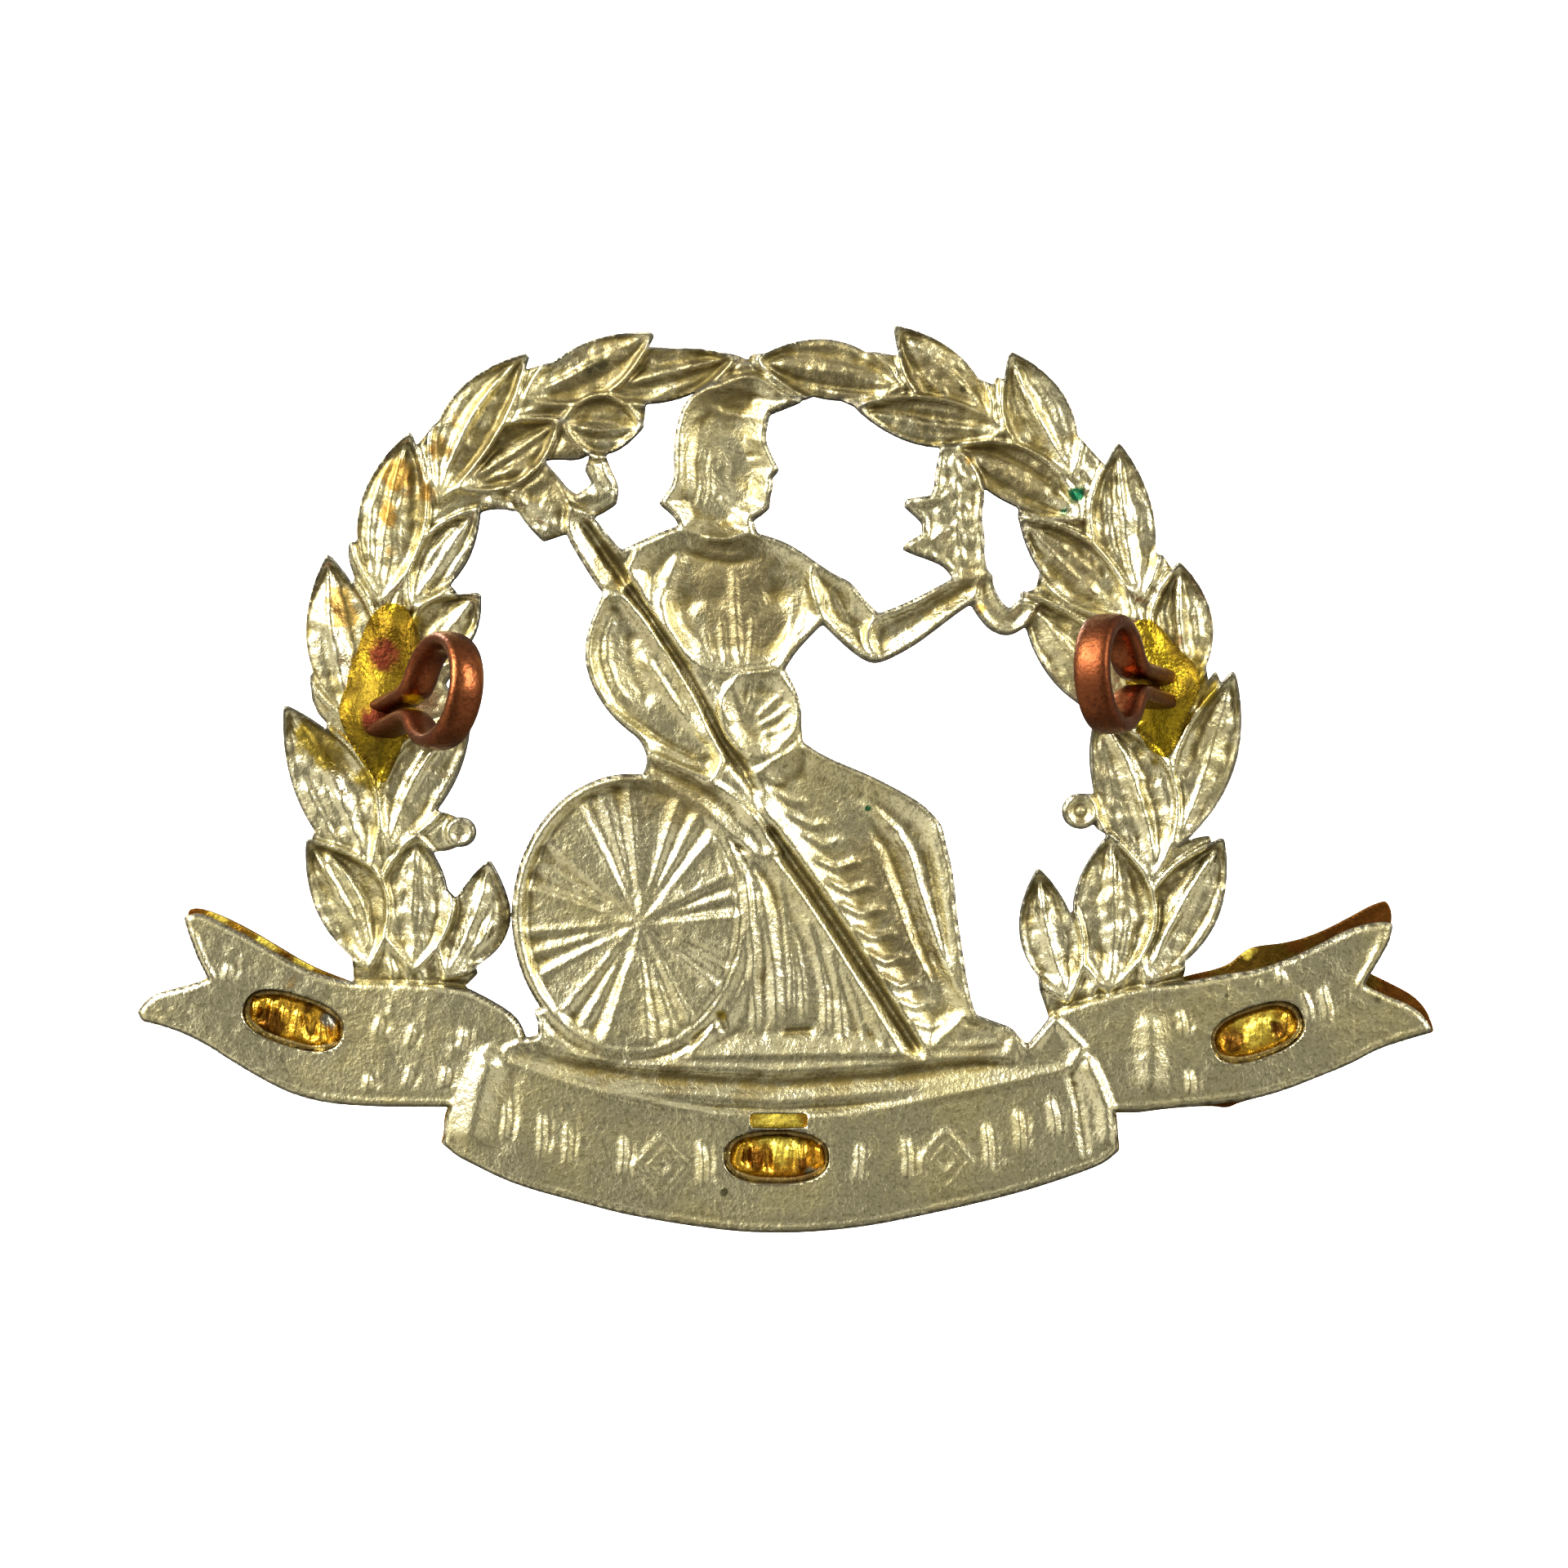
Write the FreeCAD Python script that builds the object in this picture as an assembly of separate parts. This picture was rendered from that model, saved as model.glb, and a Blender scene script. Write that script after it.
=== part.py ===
import FreeCAD, Part
import math
import os

# Cap badge in two metals: a die-struck white-metal plate (laurel wreath, seated figure, shield and
# ground), a brass scroll laid over the front of its lower edge, and two copper loops brazed to the back.
#
# Frame, in millimetres: +Z is up as the badge is worn, +Y points from the plate's back to the wearer,
# and the front of the badge faces -Y. The origin is on the back plane, midway between the two loops.
# Outlines are drawn as the back is seen: (right, up). Seen so, right is -X and up is +Z.
# "left" and "right" in names are as seen from the back.

# ---- driving dimensions: levels along Y ----
FIGURE_BACK = 0.0
SCROLL_BACK = -0.1
WREATH_BACK = -0.2
SHEET_FRONT = -0.85
GROUND_FRONT = -1.0
SPRIG_FRONT = -1.05
LEAF_FRONT = -1.15
TRIDENT_FRONT = -1.15
SHIELD_FRONT = -1.2
BODY_FRONT = -1.3
HEAD_FRONT = -1.35
OVERLAY_TAIL_FRONT = -1.45
OVERLAY_PANEL_FRONT = -1.65

# ---- driving dimensions: wreath ----
LEAF_RELIEF_SHARE = 0.82          # size of a leaf's raised front as a share of the leaf
BERRIES = [((-10.45, -4.3), 0.5), ((10.1, -3.6), 0.6)]   # centre, radius

# A leaf is (root, tip, width, sideways bow of its midrib, to the left going from root to tip).
LEFT_LEAVES = [
    ((-13.4, -8.9), (-15.55, -4.5), 2.0, -0.35),
    ((-12.0, -9.0), (-11.9, -4.3), 2.1, 0.0),
    ((-11.0, -9.2), (-9.5, -5.2), 1.8, -0.3),
    ((-13.5, -6.0), (-16.3, -0.05), 2.3, -0.18),
    ((-12.9, -5.0), (-10.1, -0.3), 2.0, 0.29),
    ((-13.9, -1.0), (-14.85, 4.95), 2.2, 0.1),
    ((-13.1, 3.2), (-12.1, 9.0), 2.08, 0.24),
    ((-12.2, 3.0), (-9.8, 6.5), 1.45, 0.08),
    ((-12.0, 1.0), (-9.8, 3.65), 1.8, 0.1),
    ((-11.2, 6.5), (-8.15, 11.6), 1.8, 0.6),
    ((-10.6, 7.0), (-7.1, 9.4), 1.6, 0.0),
    ((-7.2, 9.3), (-4.35, 9.2), 1.75, -0.1),
    ((-8.5, 10.0), (-4.0, 12.25), 1.7, -0.08),
    ((-6.0, 10.2), (-1.25, 11.4), 1.65, 0.07),
]
RIGHT_LEAVES = [
    ((9.7, -10.0), (8.7, -5.45), 1.7, 0.15),
    ((11.0, -9.7), (11.1, -4.3), 2.35, -0.15),
    ((12.2, -9.4), (14.85, -4.45), 2.0, 0.0),
    ((12.6, -5.9), (10.6, -0.3), 2.35, -0.25),
    ((13.2, -4.9), (15.2, 1.1), 1.8, -0.15),
    ((12.3, -0.9), (8.1, 3.75), 1.9, 0.25),
    ((13.75, 0.3), (13.35, 4.7), 1.9, -0.02),
    ((11.9, 2.7), (8.05, 6.15), 1.75, 0.08),
    ((12.15, 3.3), (11.35, 8.65), 1.97, 0.155),
    ((10.3, 6.0), (5.6, 8.5), 1.66, -0.2),
    ((9.9, 7.4), (7.75, 11.65), 2.05, 0.03),
    ((7.8, 9.0), (2.6, 9.8), 1.43, 0.165),
    ((7.3, 9.2), (3.9, 12.5), 1.8, 0.07),
    ((4.3, 10.4), (-0.75, 11.35), 1.95, -0.2),
]

# The solid web behind the leaves, as (right, up, half width) along the middle of each branch.
LEFT_BRANCH = [
    (-12.2, -9.3, 1.8), (-12.5, -7.5, 1.6), (-12.9, -5.0, 1.2), (-13.2, -2.5, 1.2), (-13.6, -0.2, 1.5),
    (-13.3, 2.0, 1.1), (-12.9, 4.0, 1.1), (-12.3, 5.8, 1.0), (-11.2, 7.8, 1.1), (-9.4, 9.5, 1.2),
    (-7.0, 10.4, 1.0), (-4.0, 11.1, 0.8), (-1.2, 11.1, 0.4),
]
RIGHT_BRANCH = [
    (10.9, -9.8, 1.4), (11.4, -8.0, 1.3), (12.1, -5.5, 1.0), (12.8, -3.0, 1.0), (13.3, -0.3, 1.2),
    (12.9, 1.5, 1.3), (12.3, 3.5, 0.9), (11.4, 5.3, 1.0), (10.3, 7.0, 1.1), (8.5, 8.8, 1.1),
    (6.5, 9.9, 0.9), (3.5, 10.8, 0.9), (1.0, 11.0, 0.6), (-0.9, 11.15, 0.4),
]
# Webs in the crooks between neighbouring leaves.
WREATH_WEBS = [
    [(-11.4, 5.4), (-10.6, 6.0), (-9.75, 6.4), (-9.1, 6.45), (-8.7, 6.35), (-8.1, 7.6), (-7.75, 8.05),
     (-7.3, 8.1), (-6.6, 8.05), (-6.1, 8.3), (-5.6, 8.35), (-5.3, 8.7), (-6.0, 9.9), (-8.6, 10.3),
     (-10.5, 8.6)],
    [(-12.4, -1.6), (-12.4, 3.6), (-11.2, 4.0), (-10.55, 3.8), (-10.4, 3.2), (-10.7, 1.2), (-10.9, -0.4)],
    [(-15.45, 0.9), (-15.35, -0.2), (-14.6, -1.0), (-13.8, 0.4), (-14.4, 1.8)],
    [(-14.15, 5.3), (-14.25, 4.85), (-13.9, 3.9), (-13.2, 4.6), (-13.4, 5.4)],
    [(-12.7, -9.7), (-10.3, -9.5), (-9.65, -8.95), (-9.35, -8.3), (-10.8, -7.6), (-12.5, -8.0)],
    [(-11.3, -6.0), (-10.85, -6.25), (-10.3, -6.9), (-10.6, -8.0), (-11.6, -7.6)],
    [(-11.9, -3.5), (-10.7, -3.8), (-10.5, -4.6), (-11.1, -5.0), (-11.9, -4.8)],
    [(-15.35, -4.9), (-15.35, -4.35), (-14.9, -4.0), (-14.2, -5.2), (-14.8, -5.8)],
    [(-6.2, 9.8), (-5.6, 10.4), (-4.3, 10.1), (-4.45, 9.3), (-5.4, 9.0)],
    [(-1.9, 10.5), (-1.9, 11.5), (-1.3, 11.5), (-0.6, 11.35), (0.1, 11.1), (0.6, 10.9), (1.4, 10.3),
     (0.9, 10.0), (-0.3, 10.3)],
    [(2.0, 10.15), (2.65, 9.8), (4.2, 9.8), (5.4, 10.0), (3.4, 10.7)],
    [(5.6, 8.3), (7.3, 9.3), (8.6, 8.5), (7.2, 7.5)],
    [(8.1, 6.45), (8.1, 6.0), (9.4, 5.0), (11.6, 4.5), (11.3, 6.0), (10.2, 6.3), (8.9, 6.5)],
    [(8.1, 3.5), (8.7, 3.85), (9.8, 3.7), (12.0, 3.2), (12.8, 1.0), (12.6, -1.5), (11.6, -1.3),
     (11.2, -0.5), (10.3, 1.2), (8.9, 2.8)],
    [(10.4, -3.1), (11.0, -3.0), (11.3, -4.7), (10.6, -4.1)],
    [(12.9, -4.9), (13.9, -4.5), (14.45, -4.4), (14.3, -5.1), (13.5, -6.5), (12.8, -6.2)],
    [(9.5, -8.4), (9.75, -7.3), (10.0, -6.95), (10.6, -7.6), (10.4, -8.8)],
    [(9.15, -10.5), (9.0, -9.8), (8.8, -9.1), (9.9, -9.0), (11.0, -9.9), (10.0, -10.5)],
    [(12.3, -9.6), (13.4, -9.3), (13.7, -8.6), (12.6, -8.4)],
]

# ---- driving dimensions: figure ----
BODY = [
    (-3.1, 5.9), (-3.9, 5.62), (-4.5, 5.35), (-5.1, 5.05), (-5.6, 5.6), (-6.05, 6.2), (-6.9, 6.6),
    (-7.0, 5.6), (-6.5, 4.75), (-6.0, 3.95), (-5.72, 3.6), (-6.05, 2.9), (-6.3, 2.1), (-6.33, 1.4),
    (-6.15, 0.7), (-5.85, 0.1), (-5.4, -0.5), (-4.95, -0.9), (-4.55, -1.2), (-4.32, -1.6),
    (-4.25, -2.0), (-4.4, -2.3), (-4.4, -5.0), (-3.0, -8.0), (-3.0, -11.6), (8.0, -11.9),
    (8.0, -10.95), (7.75, -10.75), (7.3, -10.6), (6.65, -10.35), (6.45, -9.8), (6.3, -9.0),
    (6.15, -8.0), (6.0, -7.0), (5.92, -6.0), (5.8, -5.3), (5.62, -4.6), (5.52, -4.1), (5.3, -3.8),
    (4.85, -3.35), (4.0, -2.85), (3.0, -2.35), (2.0, -1.95), (1.4, -1.65), (0.9, -1.3),
    (0.85, -0.8), (0.85, -0.2), (0.72, 0.3), (0.5, 0.75), (0.3, 1.1), (0.65, 1.65), (1.1, 2.15),
    (1.55, 2.6), (2.2, 1.95), (2.75, 1.5), (3.15, 1.3), (3.5, 1.32), (4.1, 1.6), (4.7, 1.95),
    (5.3, 2.4), (5.95, 2.9), (6.45, 3.25), (7.15, 3.6), (7.2, 4.2), (6.9, 4.5), (6.0, 4.2),
    (5.1, 3.7), (4.2, 3.25), (3.4, 2.95), (2.95, 3.4), (2.65, 3.8), (2.4, 4.05), (2.0, 4.2),
    (1.4, 4.6), (0.7, 5.1), (0.1, 5.4), (-0.6, 5.6), (-0.8, 6.2),
]
HEAD = [
    (-3.2, 5.7), (-3.3, 6.1), (-3.9, 6.6), (-3.6, 6.95), (-3.35, 7.4), (-3.4, 8.3), (-3.3, 9.2),
    (-3.0, 10.0), (-2.4, 10.45), (-1.8, 10.65), (-1.0, 10.9), (-0.4, 10.75), (0.3, 10.25),
    (0.95, 10.0), (0.3, 9.75), (-0.2, 9.55), (-0.32, 9.0), (-0.3, 8.5), (0.12, 7.7), (-0.12, 7.45),
    (-0.08, 7.15), (-0.18, 6.85), (-0.2, 6.45), (-0.55, 6.15), (-0.85, 6.0), (-0.7, 5.5), (-2.0, 5.2),
]
TRIDENT_HEAD = [
    (-9.1, 7.1), (-8.55, 7.65), (-8.1, 8.1), (-7.75, 8.1), (-7.2, 7.5), (-6.9, 7.1), (-6.6, 6.9),
    (-6.1, 7.25), (-6.35, 7.7), (-6.1, 8.4), (-5.7, 8.35), (-5.5, 7.8), (-5.2, 7.2), (-5.3, 6.6),
    (-5.75, 6.3), (-6.2, 6.1), (-6.3, 5.2), (-7.0, 5.6), (-7.75, 5.35), (-8.2, 5.8), (-8.7, 6.5),
]
SPRIG = [
    (5.5, 8.6), (5.3, 7.8), (5.25, 7.1), (5.1, 6.85), (4.3, 6.75), (4.25, 6.5), (4.5, 6.3),
    (4.85, 5.95), (4.85, 5.6), (4.4, 5.35), (4.15, 5.1), (4.6, 4.9), (5.2, 4.7), (5.6, 4.5),
    (5.9, 4.1), (6.6, 4.0), (7.0, 4.4), (6.9, 5.0), (6.95, 5.4), (6.8, 6.2), (6.95, 6.85),
    (6.8, 7.6), (6.2, 8.4),
]
SPRIG_STALK = [
    (6.6, 4.0), (6.5, 3.2), (6.75, 2.8), (7.1, 2.4), (7.6, 2.2), (8.0, 2.3), (8.4, 2.6),
    (8.7, 3.25), (8.0, 3.4), (7.75, 3.1), (7.45, 3.35), (7.2, 3.9), (7.1, 4.3),
]
SHIELD_CENTRE = (-4.8, -7.05)
SHIELD_RADII = (3.95, 4.7)        # across, up
SHIELD_RIM_WIDTH = 0.45
GROUND = [
    (-8.3, -11.1), (-7.9, -11.05), (-7.85, -10.6), (-8.05, -10.2), (-6.5, -9.8), (-5.0, -11.0),
    (8.0, -11.0), (8.35, -11.35), (8.9, -10.7), (9.2, -10.3), (10.3, -11.4), (9.8, -12.2),
    (5.0, -13.3), (0.0, -13.8), (-5.0, -13.3), (-9.0, -12.0), (-9.0, -11.4),
]
SLOT_CENTRE = (0.1, -13.83)
SLOT_SIZE = (1.9, 0.46)

# ---- driving dimensions: scroll, in white metal behind and brass in front ----
LEFT_TAIL = [
    (-19.4, -7.0), (-19.0, -7.0), (-18.5, -7.25), (-17.5, -7.75), (-16.5, -8.35), (-15.5, -8.9),
    (-14.5, -9.2), (-13.8, -9.3), (-12.0, -9.3), (-10.4, -9.4), (-9.7, -9.75), (-8.9, -10.2),
    (-8.5, -10.6), (-8.3, -11.1), (-8.3, -12.0), (-10.0, -13.4), (-11.1, -13.4), (-13.0, -13.4),
    (-14.8, -13.3), (-16.0, -13.0), (-17.0, -12.5), (-18.0, -11.9), (-19.0, -11.25), (-20.0, -10.8),
    (-21.0, -10.55), (-21.15, -10.25), (-20.95, -9.95), (-20.6, -9.65), (-20.0, -9.5),
    (-19.3, -9.3), (-18.8, -9.15), (-19.1, -8.6), (-19.4, -7.8), (-19.62, -7.1),
]
RIGHT_TAIL = [
    (9.2, -10.35), (10.0, -10.0), (11.0, -9.7), (12.5, -9.35), (14.0, -9.2), (15.0, -9.0),
    (16.0, -8.85), (17.0, -8.5), (18.0, -8.05), (19.0, -7.5), (20.0, -7.25), (20.45, -7.3),
    (20.35, -7.9), (20.0, -8.5), (19.7, -9.0), (19.5, -9.35), (20.2, -9.7), (21.0, -10.0),
    (21.5, -10.4), (21.75, -10.9), (21.0, -11.15), (20.0, -11.45), (19.0, -12.0), (18.0, -12.4),
    (17.0, -12.8), (16.0, -13.1), (15.0, -13.25), (13.0, -13.45), (11.4, -13.6), (10.0, -13.4),
    (8.5, -12.0), (8.9, -10.8),
]
PANEL = [
    (-9.5, -11.3), (-10.1, -12.0), (-10.5, -13.0), (-10.95, -13.6), (-10.97, -14.3), (-11.05, -14.6),
    (-10.6, -15.0), (-10.0, -15.3), (-9.0, -15.8), (-8.0, -16.15), (-6.5, -16.55), (-5.0, -16.95),
    (-3.0, -17.3), (-1.0, -17.55), (1.0, -17.55), (3.0, -17.35), (5.0, -16.95), (7.0, -16.5),
    (8.5, -16.1), (10.0, -15.6), (10.9, -15.25), (11.35, -14.85), (11.3, -14.2), (11.25, -13.6),
    (11.0, -12.9), (10.6, -12.0), (10.0, -11.3), (8.0, -12.3), (4.0, -13.2), (0.0, -13.5),
    (-4.0, -13.2), (-7.0, -12.4),
]
LEFT_OVERLAY = [
    (-19.5, -6.85), (-19.2, -6.82), (-18.5, -7.05), (-17.5, -7.55), (-16.5, -8.15), (-15.5, -8.75),
    (-14.5, -9.15), (-13.8, -9.4), (-12.0, -9.5), (-10.5, -9.6), (-9.7, -9.95), (-9.0, -10.4),
    (-8.7, -11.2), (-9.2, -12.4), (-10.0, -13.4), (-13.0, -13.45), (-14.8, -13.35), (-16.0, -13.05),
    (-17.0, -12.55), (-18.0, -11.95), (-19.0, -11.3), (-20.0, -10.85), (-20.9, -10.5),
    (-20.95, -10.0), (-20.6, -9.7), (-20.0, -9.55), (-19.3, -9.35), (-18.85, -9.1), (-19.1, -8.6),
    (-19.4, -7.8), (-19.6, -7.1),
]
RIGHT_OVERLAY = [
    (9.3, -10.6), (10.0, -10.15), (11.0, -9.85), (12.5, -9.45), (13.6, -9.1), (15.0, -8.8),
    (15.5, -8.35), (15.9, -8.1), (17.0, -8.0), (18.0, -7.7), (19.0, -7.2), (19.8, -6.75),
    (20.3, -6.58), (20.5, -6.9), (20.45, -7.6), (20.2, -8.2), (19.75, -9.0), (20.1, -9.15),
    (20.8, -9.5), (21.3, -9.8), (21.7, -10.3), (21.9, -10.95), (21.0, -11.2), (20.0, -11.5),
    (19.0, -12.05), (18.0, -12.45), (17.0, -12.85), (16.0, -13.15), (15.4, -13.3), (15.0, -13.5),
    (14.5, -13.4), (13.0, -13.5), (11.6, -13.7), (10.0, -13.4), (8.8, -12.0), (9.0, -11.2),
]
PANEL_EDGE_SHOW = 0.07            # how far the brass panel stands out round the white-metal one
WINDOWS = {                       # name: centre, half length, half height, tilt in degrees
    "left": ((-15.98, -10.53), 1.72, 0.88, -17.0),
    "centre": ((0.02, -15.05), 1.75, 0.9, 0.0),
    "right": ((15.95, -10.92), 1.6, 0.88, 19.0),
}
SOLDER_WIDTH = 0.22
SOLDER_HEIGHT = 0.28

# ---- driving dimensions: loops ----
LOOP_INNER_R = 1.35
LOOP_OUTER_R = 1.95
BAND_WIDTH = 1.2
LEG_GAP = 0.16
# name: foot and eye centre as (right, up), and the eye's height above the back plane
LOOPS = {
    "left": ((-13.05, -0.6), (-10.8, 0.12), 3.1),
    "right": ((12.75, 0.4), (10.8, 0.85), 3.8),
}
# name: centre, half width, half height of the brazed patch
BRAZES = {
    "left": ((-13.05, 0.1), 1.15, 2.7),
    "right": ((12.8, 0.5), 1.15, 2.2),
}
BRAZE_TOP_SHARE = 0.62
BRAZE_TOP = 0.42


def at(point, y):
    """Outline point (right, up) seen from the back, at depth y."""
    return FreeCAD.Vector(-point[0], y, point[1])


def polygon_face(points):
    corners = [at(p, 0.0) for p in points]
    return Part.Face(Part.makePolygon(corners + corners[:1]))


def leaf_face(root, tip, width, bow, share=1.0):
    """Pointed leaf between two arcs, shrunk about its middle by share."""
    mid = ((root[0] + tip[0]) / 2, (root[1] + tip[1]) / 2)
    a = (mid[0] + (root[0] - mid[0]) * share, mid[1] + (root[1] - mid[1]) * share)
    b = (mid[0] + (tip[0] - mid[0]) * share, mid[1] + (tip[1] - mid[1]) * share)
    length = math.hypot(b[0] - a[0], b[1] - a[1])
    left = (-(b[1] - a[1]) / length, (b[0] - a[0]) / length)
    edges = []
    for side in (bow + width / 2, bow - width / 2):
        middle = (mid[0] + left[0] * side * share, mid[1] + left[1] * side * share)
        edges.append(Part.Arc(at(a, 0.0), at(middle, 0.0), at(b, 0.0)).toShape())
    return Part.Face(Part.Wire(edges))


def ellipse_face(centre, across, up, tilt=0.0, power=1.0):
    """Oval of half sizes across and up. Power under 1 squares its ends off."""
    turn = math.radians(tilt)
    points = []
    for i in range(40):
        angle = math.radians(9 * i)
        c = math.copysign(abs(math.cos(angle)) ** power, math.cos(angle))
        s = math.copysign(abs(math.sin(angle)) ** power, math.sin(angle))
        x = across * c * math.cos(turn) - up * s * math.sin(turn)
        z = across * c * math.sin(turn) + up * s * math.cos(turn)
        points.append((centre[0] + x, centre[1] + z))
    return polygon_face(points)


def branch_face(line):
    """Band of varying width along a branch's middle line."""
    one_side = []
    other_side = []
    for i, (u, v, half) in enumerate(line):
        before = line[max(i - 1, 0)]
        after = line[min(i + 1, len(line) - 1)]
        du = after[0] - before[0]
        dv = after[1] - before[1]
        length = math.hypot(du, dv)
        one_side.append((u - dv / length * half, v + du / length * half))
        other_side.append((u + dv / length * half, v - du / length * half))
    return polygon_face(one_side + other_side[::-1])


def slab(faces, front, back):
    """Faces, drawn at y = 0, joined as one solid from depth front to depth back."""
    solids = []
    for face in faces:
        moved = face.copy()
        moved.translate(FreeCAD.Vector(0, front, 0))
        solids.append(moved.extrude(FreeCAD.Vector(0, back - front, 0)))
    if len(solids) == 1:
        return solids[0]
    return solids[0].multiFuse(solids[1:]).removeSplitter()


def figure_faces():
    shield = ellipse_face(SHIELD_CENTRE, *SHIELD_RADII)
    outlines = [BODY, HEAD, TRIDENT_HEAD, SPRIG, SPRIG_STALK, GROUND]
    return [polygon_face(p) for p in outlines] + [shield]


def wreath_faces():
    faces = [leaf_face(*leaf) for leaf in LEFT_LEAVES + RIGHT_LEAVES]
    faces += [branch_face(LEFT_BRANCH), branch_face(RIGHT_BRANCH)]
    faces += [polygon_face(web) for web in WREATH_WEBS]
    faces += [ellipse_face(centre, r, r) for centre, r in BERRIES]
    return faces


def scroll_faces():
    return [polygon_face(LEFT_TAIL), polygon_face(RIGHT_TAIL), polygon_face(PANEL)]


def window_tools():
    tools = []
    for centre, half_length, half_height, tilt in WINDOWS.values():
        face = ellipse_face(centre, half_length, half_height, tilt, 0.8)
        tools.append(slab([face], SHEET_FRONT - 1, FIGURE_BACK + 1))
    half_w = SLOT_SIZE[0] / 2
    half_h = SLOT_SIZE[1] / 2
    u, v = SLOT_CENTRE
    corners = [(u - half_w, v - half_h), (u + half_w, v - half_h), (u + half_w, v + half_h), (u - half_w, v + half_h)]
    tools.append(slab([polygon_face(corners)], SHEET_FRONT - 1, FIGURE_BACK + 1))
    return tools


def raised_front():
    """Relief on the front of the plate: leaves, figure, shield with its rim, ground and sprig."""
    solids = []
    for leaf in LEFT_LEAVES + RIGHT_LEAVES:
        solids.append(slab([leaf_face(*leaf, LEAF_RELIEF_SHARE)], LEAF_FRONT, SHEET_FRONT))
    levels = [
        (BODY, BODY_FRONT), (HEAD, HEAD_FRONT), (TRIDENT_HEAD, TRIDENT_FRONT),
        (SPRIG, SPRIG_FRONT), (SPRIG_STALK, SPRIG_FRONT), (GROUND, GROUND_FRONT),
    ]
    for outline, front in levels:
        solids.append(slab([polygon_face(outline)], front, SHEET_FRONT))
    across, up = SHIELD_RADII
    rim = ellipse_face(SHIELD_CENTRE, across, up)
    field = ellipse_face(SHIELD_CENTRE, across - SHIELD_RIM_WIDTH, up - SHIELD_RIM_WIDTH)
    solids.append(slab([rim], SHIELD_FRONT, SHEET_FRONT))
    solids.append(slab([field], SHIELD_FRONT - 0.1, SHIELD_FRONT))
    return solids


def badge_plate(overlay):
    """The struck plate: one sheet, with the figure standing a little proud at the back."""
    wreath = slab(wreath_faces(), SHEET_FRONT, WREATH_BACK)
    scroll = slab(scroll_faces(), SHEET_FRONT, SCROLL_BACK)
    figure = slab(figure_faces(), SHEET_FRONT, FIGURE_BACK)
    plate = wreath.multiFuse([scroll, figure] + raised_front())
    for tool in window_tools() + [overlay]:
        plate = plate.cut(tool)
    return plate.removeSplitter()


def scroll_overlay():
    """Brass scroll on the front: two tails, with the middle panel standing forward of them."""
    tails = slab([polygon_face(LEFT_OVERLAY), polygon_face(RIGHT_OVERLAY)], OVERLAY_TAIL_FRONT, SHEET_FRONT)
    edge = polygon_face(PANEL).makeOffset2D(PANEL_EDGE_SHOW)
    panel = slab([edge], OVERLAY_PANEL_FRONT, SHEET_FRONT)
    return tails.fuse(panel).removeSplitter()


def window_solder(name):
    """Fillet of solder round the inside of a window, standing on the back of the brass."""
    centre, half_length, half_height, tilt = WINDOWS[name]
    outer = ellipse_face(centre, half_length, half_height, tilt, 0.8)
    inner = ellipse_face(centre, half_length - SOLDER_WIDTH, half_height - SOLDER_WIDTH, tilt, 0.8)
    top = SHEET_FRONT + SOLDER_HEIGHT
    return slab([outer], SHEET_FRONT, top).cut(slab([inner], SHEET_FRONT - 1, top + 1))


def loop_axes(name):
    """Foot, eye centre, direction of the legs and direction of the eye's axis."""
    foot, eye, height = LOOPS[name]
    foot_point = at(foot, WREATH_BACK)
    eye_point = at(eye, height)
    leg = (eye_point - foot_point).normalize()
    outward = FreeCAD.Vector(1 if eye_point.x > 0 else -1, 0, 0)
    axis = (outward - leg * outward.dot(leg)).normalize()
    return foot_point, eye_point, leg, axis


def loop(name):
    """Copper strip bent to an eye, its two ends side by side as legs down to the plate."""
    foot_point, eye_point, leg, axis = loop_axes(name)
    start = eye_point - axis * (BAND_WIDTH / 2)
    ring = Part.makeCylinder(LOOP_OUTER_R, BAND_WIDTH, start, axis)
    thickness = LOOP_OUTER_R - LOOP_INNER_R
    side = leg.cross(axis).normalize()
    reach = (eye_point - foot_point).Length + 1.0
    solid = ring
    legs_half = thickness + LEG_GAP / 2
    corner = start - side * legs_half - leg * reach
    width = FreeCAD.Vector(axis) * BAND_WIDTH
    across = FreeCAD.Vector(side) * (2 * legs_half)
    base = Part.makePolygon([corner, corner + width, corner + width + across, corner + across, corner])
    solid = solid.fuse(Part.Face(base).extrude(leg * (reach - LOOP_INNER_R / 2)))
    hole = Part.makeCylinder(LOOP_INNER_R, BAND_WIDTH + 2, start - axis, axis)
    corner = start - axis - side * (LEG_GAP / 2) - leg * (reach + 1)
    width = FreeCAD.Vector(axis) * (BAND_WIDTH + 2)
    across = FreeCAD.Vector(side) * LEG_GAP
    base = Part.makePolygon([corner, corner + width, corner + width + across, corner + across, corner])
    slit = Part.Face(base).extrude(leg * (reach + 1))
    below = Part.makeBox(20, 10, 20, FreeCAD.Vector(foot_point.x - 10, WREATH_BACK - 10, foot_point.z - 10))
    return solid.cut(hole).cut(slit).cut(below).removeSplitter()


def braze(name, legs):
    """Low mound of brazing metal round the foot of a loop."""
    centre, half_width, half_height = BRAZES[name]
    rings = []
    for share, y in ((1.0, WREATH_BACK), (BRAZE_TOP_SHARE, BRAZE_TOP)):
        outline = ellipse_face(centre, half_width * share, half_height * share)
        outline.translate(FreeCAD.Vector(0, y, 0))
        rings.append(outline.OuterWire)
    return Part.makeLoft(rings, True, True).cut(legs)


def largest_solid(shape):
    return max(shape.Solids, key=lambda solid: solid.Volume)


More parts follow.
